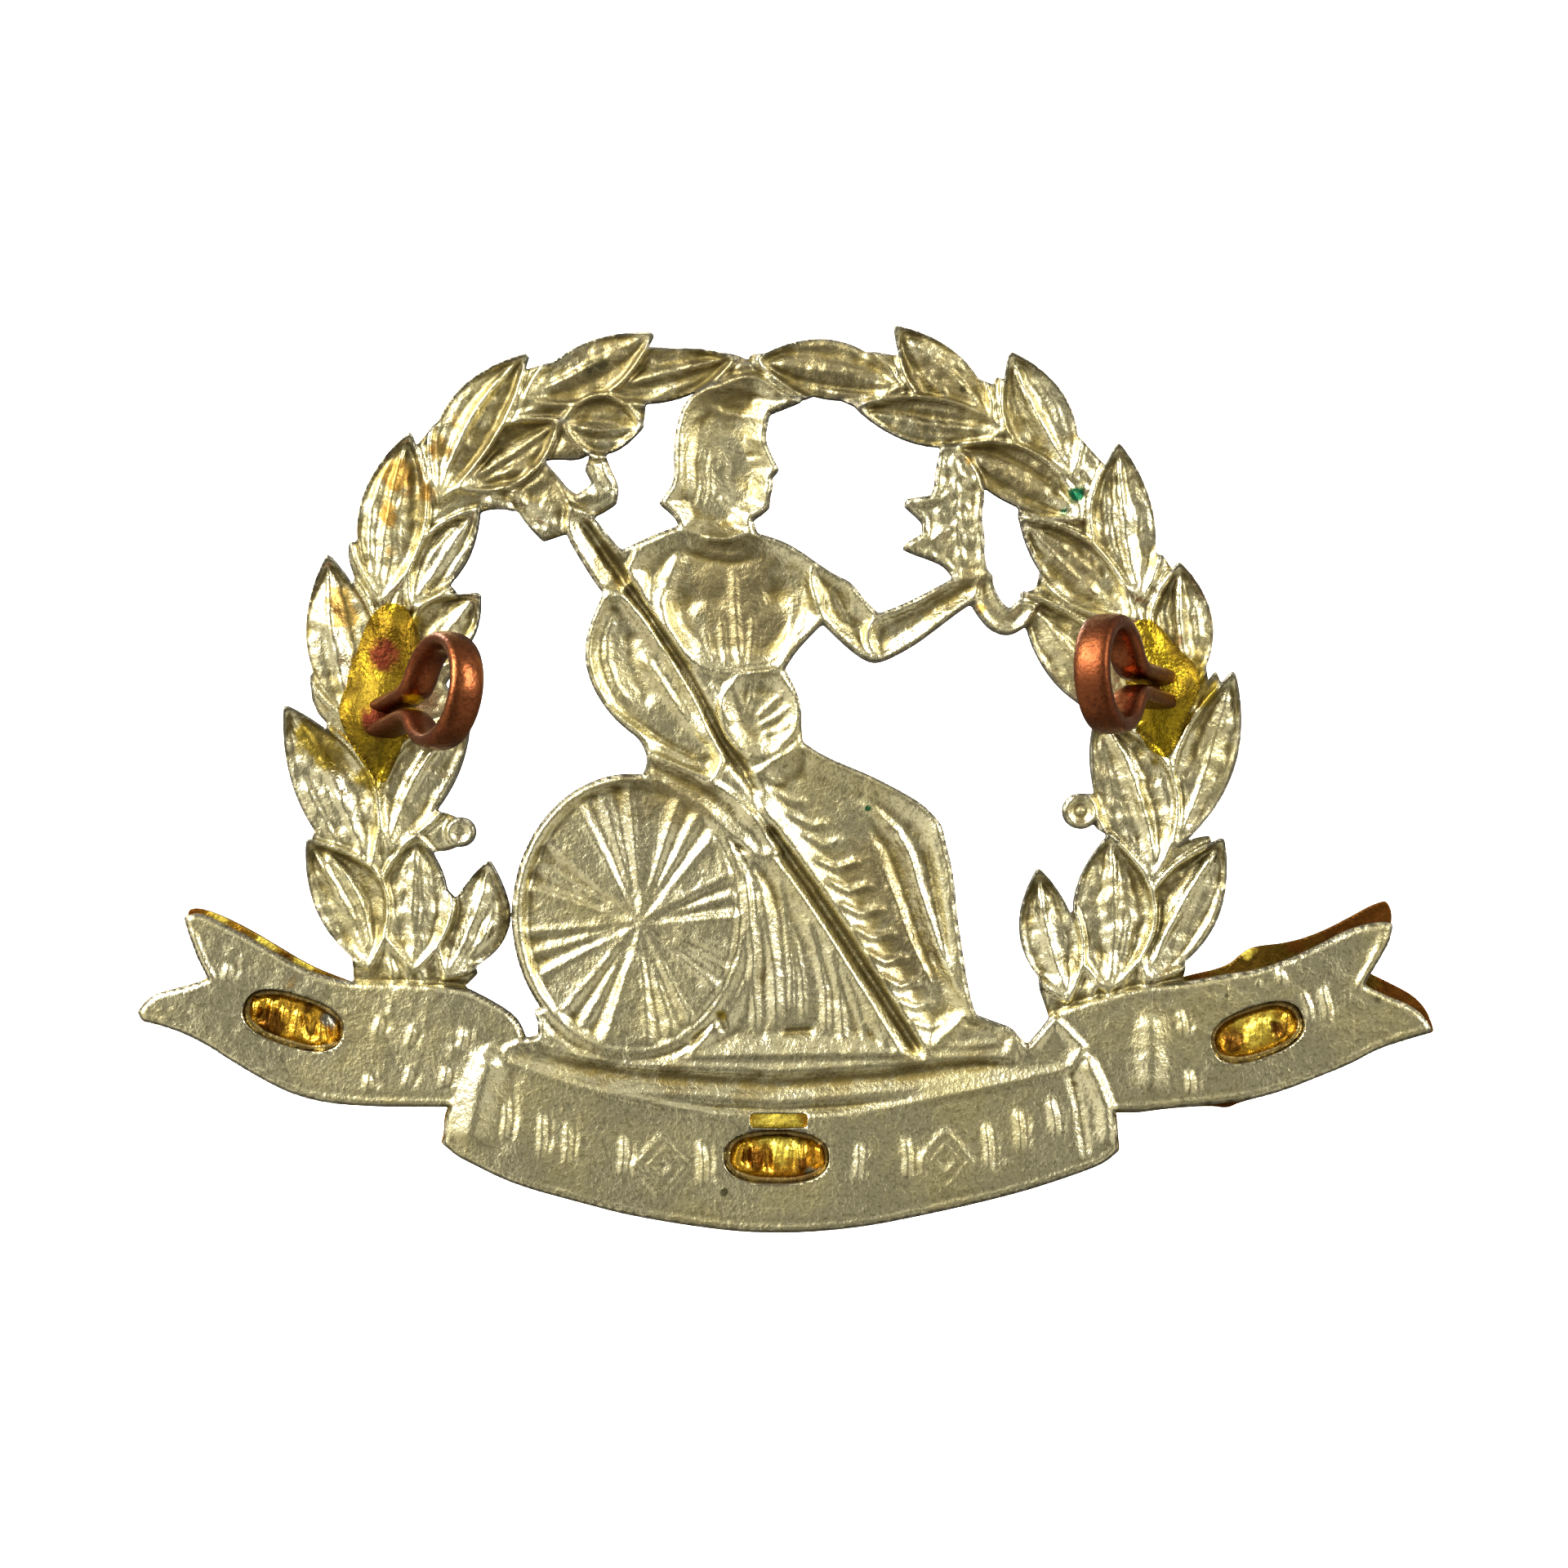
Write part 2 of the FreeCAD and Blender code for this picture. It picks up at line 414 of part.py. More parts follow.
def write(shape, name):
    solid = largest_solid(shape)
    if not solid.isValid():
        raise ValueError(name + " is not a valid solid")
    solid.exportStep("parts/" + name + ".step")
    box = solid.BoundBox
    print(name, "solids", len(shape.Solids), "volume", round(solid.Volume, 3),
          "x", round(box.XMin, 2), round(box.XMax, 2), "y", round(box.YMin, 2), round(box.YMax, 2),
          "z", round(box.ZMin, 2), round(box.ZMax, 2))


def main():
    os.makedirs("parts", exist_ok=True)
    overlay = scroll_overlay()
    write(overlay, "scroll_overlay")
    write(badge_plate(overlay), "badge_plate")
    for name in LOOPS:
        legs = loop(name)
        write(legs, "lug_" + name)
        write(braze(name, legs), "lug_braze_" + name)
        eye, axis = loop_axes(name)[1], loop_axes(name)[3]
        print("eye", name, [round(c, 4) for c in eye], "axis", [round(c, 5) for c in axis])
    for name in WINDOWS:
        write(window_solder(name), "window_solder_" + name)


main()
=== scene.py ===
import math

import bpy
import numpy as np
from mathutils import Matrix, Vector


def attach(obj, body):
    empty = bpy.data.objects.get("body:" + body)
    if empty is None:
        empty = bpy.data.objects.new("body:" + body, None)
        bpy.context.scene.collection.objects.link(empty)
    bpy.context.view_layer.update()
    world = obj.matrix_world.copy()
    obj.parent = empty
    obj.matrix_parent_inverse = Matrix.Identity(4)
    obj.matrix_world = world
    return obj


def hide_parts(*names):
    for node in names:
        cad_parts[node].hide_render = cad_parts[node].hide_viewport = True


# A two-metal cap badge, standing upright with its back to the camera.
# Outlines are (right, up) in mm as the back is seen: right is -X, up is +Z, towards the viewer is +Y.

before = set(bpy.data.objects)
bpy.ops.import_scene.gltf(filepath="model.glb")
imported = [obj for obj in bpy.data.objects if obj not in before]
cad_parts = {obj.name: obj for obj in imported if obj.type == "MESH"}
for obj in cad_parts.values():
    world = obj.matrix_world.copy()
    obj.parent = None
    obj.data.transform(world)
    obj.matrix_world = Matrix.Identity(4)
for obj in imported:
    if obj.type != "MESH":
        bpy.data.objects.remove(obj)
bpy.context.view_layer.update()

MM = 0.001
PITCH = 0.08      # spacing of the relief's sample points, mm

# Depths in mm. 0 is the plane of the highest metal on the badge's back, and minus is towards its front.
BRANCH_LEVEL = -0.36
LEAF_LEVEL = -0.14
LEAF_DEPTH = 0.42
LEAF_SPREAD = 1.28         # a leaf's hollow runs this much wider than its outline, into its neighbours
SCROLL_LEVEL = -0.12
PLATE_THICKNESS = 0.78
PLATE_LEAST = 0.3          # the plate is nowhere thinner than this
OVERLAY_BACK = -0.86
OVERLAY_FRONT = -1.42
PANEL_FRONT = -1.62
WINDOW_RISE = 0.4          # how far the brass stands up in a window
SLOT_RISE = 0.66
SOLDER_DEPTH = -0.72
SOLDER_RADIUS = 0.15
EDGE_BLUR = 0.05           # rounds every outline
STRIKE_BLUR = 0.045        # rounds the plate's relief
OUTSIDE = -3.0             # distance to an outline, where it is too far to measure

# ------------------------------------------------------------------ outlines

# A leaf is (root, tip, width, sideways bow of its midrib, to the left going from root to tip).
LEFT_LEAVES = [
    ((-13.4, -8.9), (-15.55, -4.5), 2.2, -0.3),
    ((-12.0, -9.0), (-11.9, -4.3), 2.1, 0.0),
    ((-11.0, -9.2), (-9.5, -5.2), 2.0, -0.38),
    ((-13.5, -6.0), (-16.3, -0.05), 2.3, -0.18),
    ((-12.9, -5.0), (-10.1, -0.3), 2.0, 0.29),
    ((-13.9, -1.0), (-14.85, 4.95), 2.2, 0.1),
    ((-13.1, 3.2), (-12.1, 9.0), 2.08, 0.24),
    ((-12.2, 3.0), (-9.8, 6.5), 1.45, 0.08),
    ((-12.0, 1.0), (-9.8, 3.65), 1.8, 0.1),
    ((-11.2, 6.5), (-8.15, 11.6), 1.8, 0.6),
    ((-10.6, 7.0), (-7.1, 9.4), 1.6, 0.0),
    ((-7.2, 9.3), (-4.35, 9.2), 1.75, -0.1),
    ((-8.5, 10.0), (-4.0, 12.25), 1.7, -0.08),
    ((-6.0, 10.2), (-1.25, 11.4), 1.65, 0.07),
]
RIGHT_LEAVES = [
    ((9.7, -10.0), (8.7, -5.45), 1.85, 0.15),
    ((11.0, -9.7), (11.1, -4.3), 2.45, -0.05),
    ((12.2, -9.4), (14.85, -4.45), 2.15, -0.07),
    ((12.6, -5.9), (10.6, -0.3), 2.35, -0.25),
    ((13.2, -4.9), (15.2, 1.1), 1.8, -0.15),
    ((12.3, -0.9), (8.1, 3.75), 1.9, 0.25),
    ((13.75, 0.3), (13.35, 4.7), 1.9, -0.02),
    ((11.9, 2.7), (8.05, 6.15), 1.75, 0.08),
    ((12.15, 3.3), (11.35, 8.65), 1.97, 0.155),
    ((10.3, 6.0), (5.6, 8.5), 1.66, -0.2),
    ((9.9, 7.4), (7.75, 11.65), 2.05, 0.03),
    ((7.8, 9.0), (2.6, 9.8), 1.43, 0.165),
    ((7.3, 9.2), (3.9, 12.5), 1.8, 0.07),
    ((4.3, 10.4), (-0.75, 11.35), 1.95, -0.2),
]
LEFT_BRANCH = [
    (-12.2, -9.3, 1.8), (-12.5, -7.5, 1.6), (-12.9, -5.0, 1.2), (-13.2, -2.5, 1.2), (-13.6, -0.2, 1.5),
    (-13.3, 2.0, 1.1), (-12.9, 4.0, 1.1), (-12.3, 5.8, 1.0), (-11.2, 7.8, 1.1), (-9.4, 9.5, 1.2),
    (-7.0, 10.4, 1.0), (-4.0, 11.1, 0.8), (-1.2, 11.1, 0.4),
]
RIGHT_BRANCH = [
    (10.9, -9.8, 1.4), (11.4, -8.0, 1.3), (12.1, -5.5, 1.0), (12.8, -3.0, 1.0), (13.3, -0.3, 1.2),
    (12.9, 1.5, 1.3), (12.3, 3.5, 0.9), (11.4, 5.3, 1.0), (10.3, 7.0, 1.1), (8.5, 8.8, 1.1),
    (6.5, 9.9, 0.9), (3.5, 10.8, 0.9), (1.0, 11.0, 0.6), (-0.9, 11.15, 0.4),
]
WREATH_WEBS = [
    [(-11.4, 5.4), (-10.6, 6.0), (-9.75, 6.4), (-9.1, 6.45), (-8.7, 6.35), (-8.1, 7.6), (-7.75, 8.05),
     (-7.3, 8.1), (-6.6, 8.05), (-6.1, 8.3), (-5.6, 8.35), (-5.3, 8.7), (-6.0, 9.9), (-8.6, 10.3),
     (-10.5, 8.6)],
    [(-12.4, -1.6), (-12.4, 3.6), (-11.2, 4.0), (-10.6, 3.8), (-10.0, 2.3), (-10.6, 1.2), (-11.0, 0.6),
     (-10.4, 0.0), (-10.9, -0.8)],
    [(-15.45, 0.9), (-15.35, -0.2), (-14.6, -1.0), (-13.8, 0.4), (-14.4, 1.8)],
    [(-14.15, 5.3), (-14.2, 4.8), (-13.9, 3.9), (-13.2, 4.6), (-13.4, 5.4)],
    [(-14.0, -9.5), (-13.9, -8.5), (-11.9, -8.0), (-10.2, -8.2), (-9.9, -9.0), (-10.4, -9.5)],
    [(-11.3, -6.0), (-10.85, -6.25), (-10.3, -6.9), (-10.6, -8.0), (-11.6, -7.6)],
    [(-11.9, -3.5), (-10.7, -3.7), (-10.4, -4.1), (-10.35, -4.7), (-11.1, -5.0), (-11.9, -4.8)],
    [(-15.35, -4.9), (-15.35, -4.35), (-14.9, -4.0), (-14.2, -5.2), (-14.8, -5.8)],
    [(-6.2, 9.8), (-5.6, 10.4), (-4.3, 10.1), (-4.4, 9.3), (-5.4, 9.0)],
    [(-1.9, 10.5), (-1.7, 11.6), (-1.2, 11.5), (-0.95, 11.35), (-0.6, 11.4), (0.1, 11.05), (0.6, 10.9),
     (1.4, 10.3), (0.9, 10.0), (-0.3, 10.3)],
    [(2.0, 10.15), (2.65, 9.8), (4.2, 9.8), (5.4, 10.0), (3.4, 10.7)],
    [(5.6, 8.3), (7.3, 9.3), (8.6, 8.5), (7.2, 7.5)],
    [(8.05, 6.45), (8.05, 6.1), (9.4, 5.4), (11.0, 4.9), (11.3, 6.0), (10.2, 6.3), (8.9, 6.5)],
    [(8.15, 3.6), (8.65, 3.8), (8.8, 4.5), (10.0, 4.2), (12.0, 3.4), (12.8, 1.0), (12.6, -1.5),
     (11.6, -1.3), (11.2, -0.5), (10.3, 1.2), (8.9, 2.8)],
    [(10.3, -3.0), (11.0, -3.1), (11.2, -4.5), (10.5, -4.1)],
    [(12.9, -4.9), (13.9, -4.5), (14.45, -4.4), (14.3, -5.1), (13.5, -6.5), (12.8, -6.2)],
    [(9.5, -8.4), (9.75, -7.3), (10.0, -6.95), (10.6, -7.6), (10.4, -8.8)],
    [(9.1, -10.5), (8.65, -9.2), (8.9, -8.4), (10.4, -8.8), (11.0, -9.9), (10.0, -10.5)],
    [(12.3, -9.6), (13.5, -9.2), (13.6, -8.7), (12.6, -8.4)],
    [(7.2, 10.2), (7.3, 10.85), (7.9, 10.5), (8.0, 9.6)],
    [(10.0, 7.8), (10.4, 8.2), (11.0, 7.6), (11.0, 6.8)],
    [(12.3, 4.4), (12.8, 4.95), (13.3, 4.2), (12.9, 3.6)],
    [(14.1, 0.2), (14.6, 1.1), (14.9, 0.2), (14.2, -0.8)],
]
BERRIES = [((-10.45, -4.3), 0.5), ((10.1, -3.6), 0.6)]

BODY = [
    (-3.1, 5.9), (-3.9, 5.62), (-4.5, 5.35), (-5.1, 5.05), (-5.6, 5.6), (-6.05, 6.2), (-6.9, 6.6),
    (-7.0, 5.6), (-6.5, 4.75), (-6.0, 3.95), (-5.72, 3.6), (-6.05, 2.9), (-6.3, 2.1), (-6.33, 1.4),
    (-6.15, 0.7), (-5.85, 0.1), (-5.4, -0.5), (-4.95, -0.9), (-4.55, -1.2), (-4.32, -1.6),
    (-4.25, -2.0), (-4.4, -2.3), (-4.4, -5.0), (-3.0, -8.0), (-3.0, -11.6), (8.0, -11.9),
    (8.0, -10.95), (7.75, -10.75), (7.3, -10.6), (6.65, -10.35), (6.45, -9.8), (6.3, -9.0),
    (6.15, -8.0), (6.0, -7.0), (5.92, -6.0), (5.8, -5.3), (5.62, -4.6), (5.52, -4.1), (5.3, -3.8),
    (4.85, -3.35), (4.0, -2.85), (3.0, -2.35), (2.0, -1.95), (1.4, -1.65), (0.9, -1.3),
    (0.85, -0.8), (0.85, -0.2), (0.72, 0.3), (0.5, 0.75), (0.3, 1.1), (0.65, 1.65), (1.1, 2.15),
    (1.55, 2.6), (2.2, 1.95), (2.75, 1.5), (3.15, 1.3), (3.5, 1.32), (4.1, 1.6), (4.7, 1.95),
    (5.3, 2.4), (5.95, 2.9), (6.45, 3.25), (7.15, 3.6), (7.2, 4.2), (6.9, 4.5), (6.0, 4.2),
    (5.1, 3.7), (4.2, 3.25), (3.4, 2.95), (2.95, 3.4), (2.65, 3.8), (2.4, 4.05), (2.0, 4.2),
    (1.4, 4.6), (0.7, 5.1), (0.1, 5.4), (-0.6, 5.6), (-0.8, 6.2),
]
HEAD = [
    (-3.2, 5.7), (-3.3, 6.1), (-3.9, 6.6), (-3.6, 6.95), (-3.35, 7.4), (-3.4, 8.3), (-3.3, 9.2),
    (-3.0, 10.0), (-2.4, 10.45), (-1.8, 10.65), (-1.0, 10.9), (-0.4, 10.75), (0.3, 10.25),
    (0.95, 10.0), (0.3, 9.75), (-0.2, 9.55), (-0.32, 9.0), (-0.3, 8.5), (0.12, 7.7), (-0.12, 7.45),
    (-0.08, 7.15), (-0.18, 6.85), (-0.2, 6.45), (-0.55, 6.15), (-0.85, 6.0), (-0.7, 5.5), (-2.0, 5.2),
]
TRIDENT_HEAD = [
    (-9.1, 7.1), (-8.55, 7.65), (-8.1, 8.1), (-7.75, 8.1), (-7.2, 7.5), (-6.9, 7.1), (-6.6, 6.9),
    (-6.1, 7.25), (-6.35, 7.7), (-6.1, 8.4), (-5.7, 8.35), (-5.5, 7.8), (-5.2, 7.2), (-5.3, 6.6),
    (-5.75, 6.3), (-6.2, 6.1), (-6.3, 5.2), (-7.0, 5.6), (-7.75, 5.35), (-8.2, 5.8), (-8.7, 6.5),
]
SPRIG = [
    (5.5, 8.6), (5.3, 7.8), (5.25, 7.1), (5.1, 6.85), (4.3, 6.75), (4.25, 6.5), (4.5, 6.3),
    (4.85, 5.95), (4.85, 5.6), (4.4, 5.35), (4.15, 5.1), (4.6, 4.9), (5.2, 4.7), (5.6, 4.5),
    (5.9, 4.1), (6.6, 4.0), (7.0, 4.4), (6.9, 5.0), (6.95, 5.4), (6.8, 6.2), (6.95, 6.85),
    (6.8, 7.6), (6.2, 8.4),
]
SPRIG_STALK = [
    (6.6, 4.0), (6.5, 3.2), (6.75, 2.8), (7.1, 2.4), (7.6, 2.2), (8.0, 2.3), (8.4, 2.6),
    (8.7, 3.25), (8.0, 3.4), (7.75, 3.1), (7.45, 3.35), (7.2, 3.9), (7.1, 4.3),
]
GROUND = [
    (-8.3, -11.1), (-7.9, -11.05), (-7.85, -10.6), (-8.05, -10.2), (-6.5, -9.8), (-5.0, -11.0),
    (8.0, -11.0), (8.35, -11.35), (8.9, -10.7), (9.2, -10.3), (10.3, -11.4), (9.8, -12.2),
    (5.0, -13.3), (0.0, -13.8), (-5.0, -13.3), (-9.0, -12.0), (-9.0, -11.4),
]
SHIELD_CENTRE = (-4.8, -7.05)
SHIELD_RADII = (3.95, 4.7)
SHIELD_HUB = (-4.5, -7.3)

LEFT_TAIL = [
    (-19.4, -7.0), (-19.0, -7.0), (-18.5, -7.25), (-17.5, -7.75), (-16.5, -8.35), (-15.5, -8.9),
    (-14.5, -9.2), (-13.8, -9.3), (-12.0, -9.3), (-10.4, -9.4), (-9.7, -9.75), (-8.9, -10.2),
    (-8.5, -10.6), (-8.3, -11.1), (-8.3, -12.0), (-10.0, -13.4), (-11.1, -13.4), (-13.0, -13.4),
    (-14.8, -13.3), (-16.0, -13.0), (-17.0, -12.5), (-18.0, -11.9), (-19.0, -11.25), (-20.0, -10.8),
    (-21.0, -10.55), (-21.15, -10.25), (-20.95, -9.95), (-20.6, -9.65), (-20.0, -9.5),
    (-19.3, -9.3), (-18.8, -9.15), (-19.1, -8.6), (-19.4, -7.8), (-19.62, -7.1),
]
RIGHT_TAIL = [
    (9.2, -10.35), (10.0, -10.0), (11.0, -9.7), (12.5, -9.35), (14.0, -9.2), (15.0, -9.0),
    (16.0, -8.85), (17.0, -8.5), (18.0, -8.05), (19.0, -7.5), (20.0, -7.25), (20.45, -7.3),
    (20.35, -7.9), (20.0, -8.5), (19.7, -9.0), (19.5, -9.35), (20.2, -9.7), (21.0, -10.0),
    (21.5, -10.4), (21.75, -10.9), (21.0, -11.15), (20.0, -11.45), (19.0, -12.0), (18.0, -12.4),
    (17.0, -12.8), (16.0, -13.1), (15.0, -13.25), (13.0, -13.45), (11.4, -13.6), (10.0, -13.4),
    (8.5, -12.0), (8.9, -10.8),
]
PANEL = [
    (-9.5, -11.3), (-10.1, -12.0), (-10.5, -13.0), (-10.95, -13.6), (-10.97, -14.3), (-11.05, -14.6),
    (-10.6, -15.0), (-10.0, -15.3), (-9.0, -15.8), (-8.0, -16.15), (-6.5, -16.55), (-5.0, -16.95),
    (-3.0, -17.3), (-1.0, -17.55), (1.0, -17.55), (3.0, -17.35), (5.0, -16.95), (7.0, -16.5),
    (8.5, -16.1), (10.0, -15.6), (10.9, -15.25), (11.35, -14.85), (11.3, -14.2), (11.25, -13.6),
    (11.0, -12.9), (10.6, -12.0), (10.0, -11.3), (8.0, -12.3), (4.0, -13.2), (0.0, -13.5),
    (-4.0, -13.2), (-7.0, -12.4),
]
LEFT_OVERLAY = [
    (-19.5, -6.85), (-19.2, -6.82), (-18.5, -7.05), (-17.5, -7.55), (-16.5, -8.15), (-15.5, -8.75),
    (-14.5, -9.15), (-13.8, -9.4), (-12.0, -9.5), (-10.5, -9.6), (-9.7, -9.95), (-9.0, -10.4),
    (-8.7, -11.2), (-9.2, -12.4), (-10.0, -13.4), (-13.0, -13.45), (-14.8, -13.35), (-16.0, -13.05),
    (-17.0, -12.55), (-18.0, -11.95), (-19.0, -11.3), (-20.0, -10.85), (-20.9, -10.5),
    (-20.95, -10.0), (-20.6, -9.7), (-20.0, -9.55), (-19.3, -9.35), (-18.85, -9.1), (-19.1, -8.6),
    (-19.4, -7.8), (-19.6, -7.1),
]
RIGHT_OVERLAY = [
    (9.3, -10.6), (10.0, -10.15), (11.0, -9.85), (12.5, -9.45), (13.6, -9.1), (15.0, -8.8),
    (15.5, -8.35), (15.9, -8.1), (17.0, -8.0), (18.0, -7.7), (19.0, -7.2), (19.8, -6.75),
    (20.3, -6.58), (20.5, -6.9), (20.45, -7.6), (20.2, -8.2), (19.75, -9.0), (20.1, -9.15),
    (20.8, -9.5), (21.3, -9.8), (21.7, -10.3), (21.9, -10.95), (21.0, -11.2), (20.0, -11.5),
    (19.0, -12.05), (18.0, -12.45), (17.0, -12.85), (16.0, -13.15), (15.4, -13.3), (15.0, -13.5),
    (14.5, -13.4), (13.0, -13.5), (11.6, -13.7), (10.0, -13.4), (8.8, -12.0), (9.0, -11.2),
]
WINDOW_POWER = 0.8         # under 1, so the windows' ends are fuller than an ellipse's
# centre, half length, half height, tilt in degrees
WINDOWS = {
    "left": ((-15.98, -10.53), 1.72, 0.88, -17.0),
    "centre": ((0.02, -15.05), 1.75, 0.9, 0.0),
    "right": ((15.95, -10.92), 1.6, 0.88, 19.0),
}
SOLDER_INSET = 0.12        # the solder runs this far inside a window's outline
SLOT = [(-0.85, -14.06), (1.05, -14.06), (1.05, -13.6), (-0.85, -13.6)]

# ------------------------------------------------------------------ the figure's parts


def body_run(first, last):
    """Points of the body's outline from one of them to another, either way round."""
    i, j = BODY.index(first), BODY.index(last)
    return BODY[i : j + 1] if i < j else BODY[j : i + 1][::-1]


TORSO = [
    (-3.1, 5.8), (-3.9, 5.5), (-4.6, 5.1), (-5.0, 4.4), (-4.3, 3.2), (-3.6, 2.1), (-2.9, 1.3),
    (-2.2, 0.9), (-0.3, 0.95), (0.25, 1.1), (0.65, 1.65), (1.1, 2.15), (1.6, 2.6), (1.75, 3.3),
    (1.9, 4.1), (1.4, 4.6), (0.7, 5.1), (0.1, 5.4), (-0.6, 5.65), (-1.8, 5.6),
]
UPPER_ARM = [
    (1.2, 4.75), (1.8, 4.35), (2.4, 4.05), (2.9, 3.45), (3.35, 2.95), (3.6, 2.2), (3.45, 1.32),
    (3.15, 1.3), (2.75, 1.5), (2.2, 1.95), (1.55, 2.6), (1.2, 3.3), (1.0, 4.1),
]
FOREARM = [(3.0, 2.6), *body_run((3.4, 2.95), (3.5, 1.32)), (3.1, 1.6), (2.9, 2.1)]
RAISED_ARM = [(-4.6, 5.3), *body_run((-5.1, 5.05), (-5.72, 3.6)), (-5.1, 3.5), (-4.5, 4.3)]
CLOAK = [
    (-5.0, 3.6), *body_run((-5.72, 3.6), (-4.25, -2.0)), (-3.0, -2.6), (-2.0, -2.7), (-1.6, -1.9),
    (-2.1, -0.9), (-2.6, 0.2), (-3.5, 1.7), (-4.3, 2.9),
]
SLEEVE = [
    (-4.3, -1.5), (-3.5, -1.9), (-2.5, -2.3), (-1.5, -2.9), (-0.7, -3.6), (0.3, -5.0), (-0.6, -5.2),
    (-1.6, -4.4), (-2.6, -3.4), (-3.5, -2.9), (-4.4, -2.4),
]
LEG = [
    (-1.0, -2.4), (-0.3, -2.0), *body_run((0.9, -1.3), (6.65, -10.35)), (6.2, -10.9), (5.2, -11.7),
    (4.9, -11.6), (3.4, -9.2), (2.3, -7.4), (1.3, -6.0), (0.4, -4.8), (-0.5, -3.6),
]
SKIRT = [
    (-1.3, -4.9), (-0.6, -5.0), (0.0, -5.1), (0.7, -6.0), (1.6, -7.3), (2.6, -8.9), (3.6, -10.5),
    (4.3, -11.7), (-3.0, -11.8), (-2.2, -10.7), (-1.4, -9.5), (-0.9, -8.0), (-0.9, -6.8), (-1.1, -5.6),
]
FOOT = [
    (6.2, -10.3), *body_run((6.65, -10.35), (8.0, -10.95)), (7.9, -11.5), (7.7, -11.8),
    (5.0, -11.85), (4.9, -11.5), (5.6, -10.9),
]
# centre, half width, half height
HIP = ((-0.55, -0.35), 1.38, 1.5)

# A line of relief is (height, half width, points): raised where height is over zero, cut where under.
# A fourth entry is the share of the line over which it dies away at each end.
GROUND_LINES = [
    (-0.2, 0.32, [(-8.0, -11.5), (-6.5, -12.1), (-4.0, -12.45), (0.0, -12.7), (4.0, -12.4),
                  (8.4, -11.7)], 0.12),
    (0.12, 0.16, [(-8.4, -11.2), (-6.5, -11.75), (-4.0, -12.05), (0.0, -12.2), (4.0, -12.0),
                  (8.0, -11.5)], 0.1),
    (0.06, 0.2, [(-6.5, -12.7), (0.0, -13.15), (6.5, -12.6)], 0.2),
    (-0.22, 0.13, [(-4.7, -13.05), (-2.0, -13.42), (0.0, -13.5), (2.0, -13.42), (4.0, -13.2),
                   (5.2, -13.0)], 0.3),
]
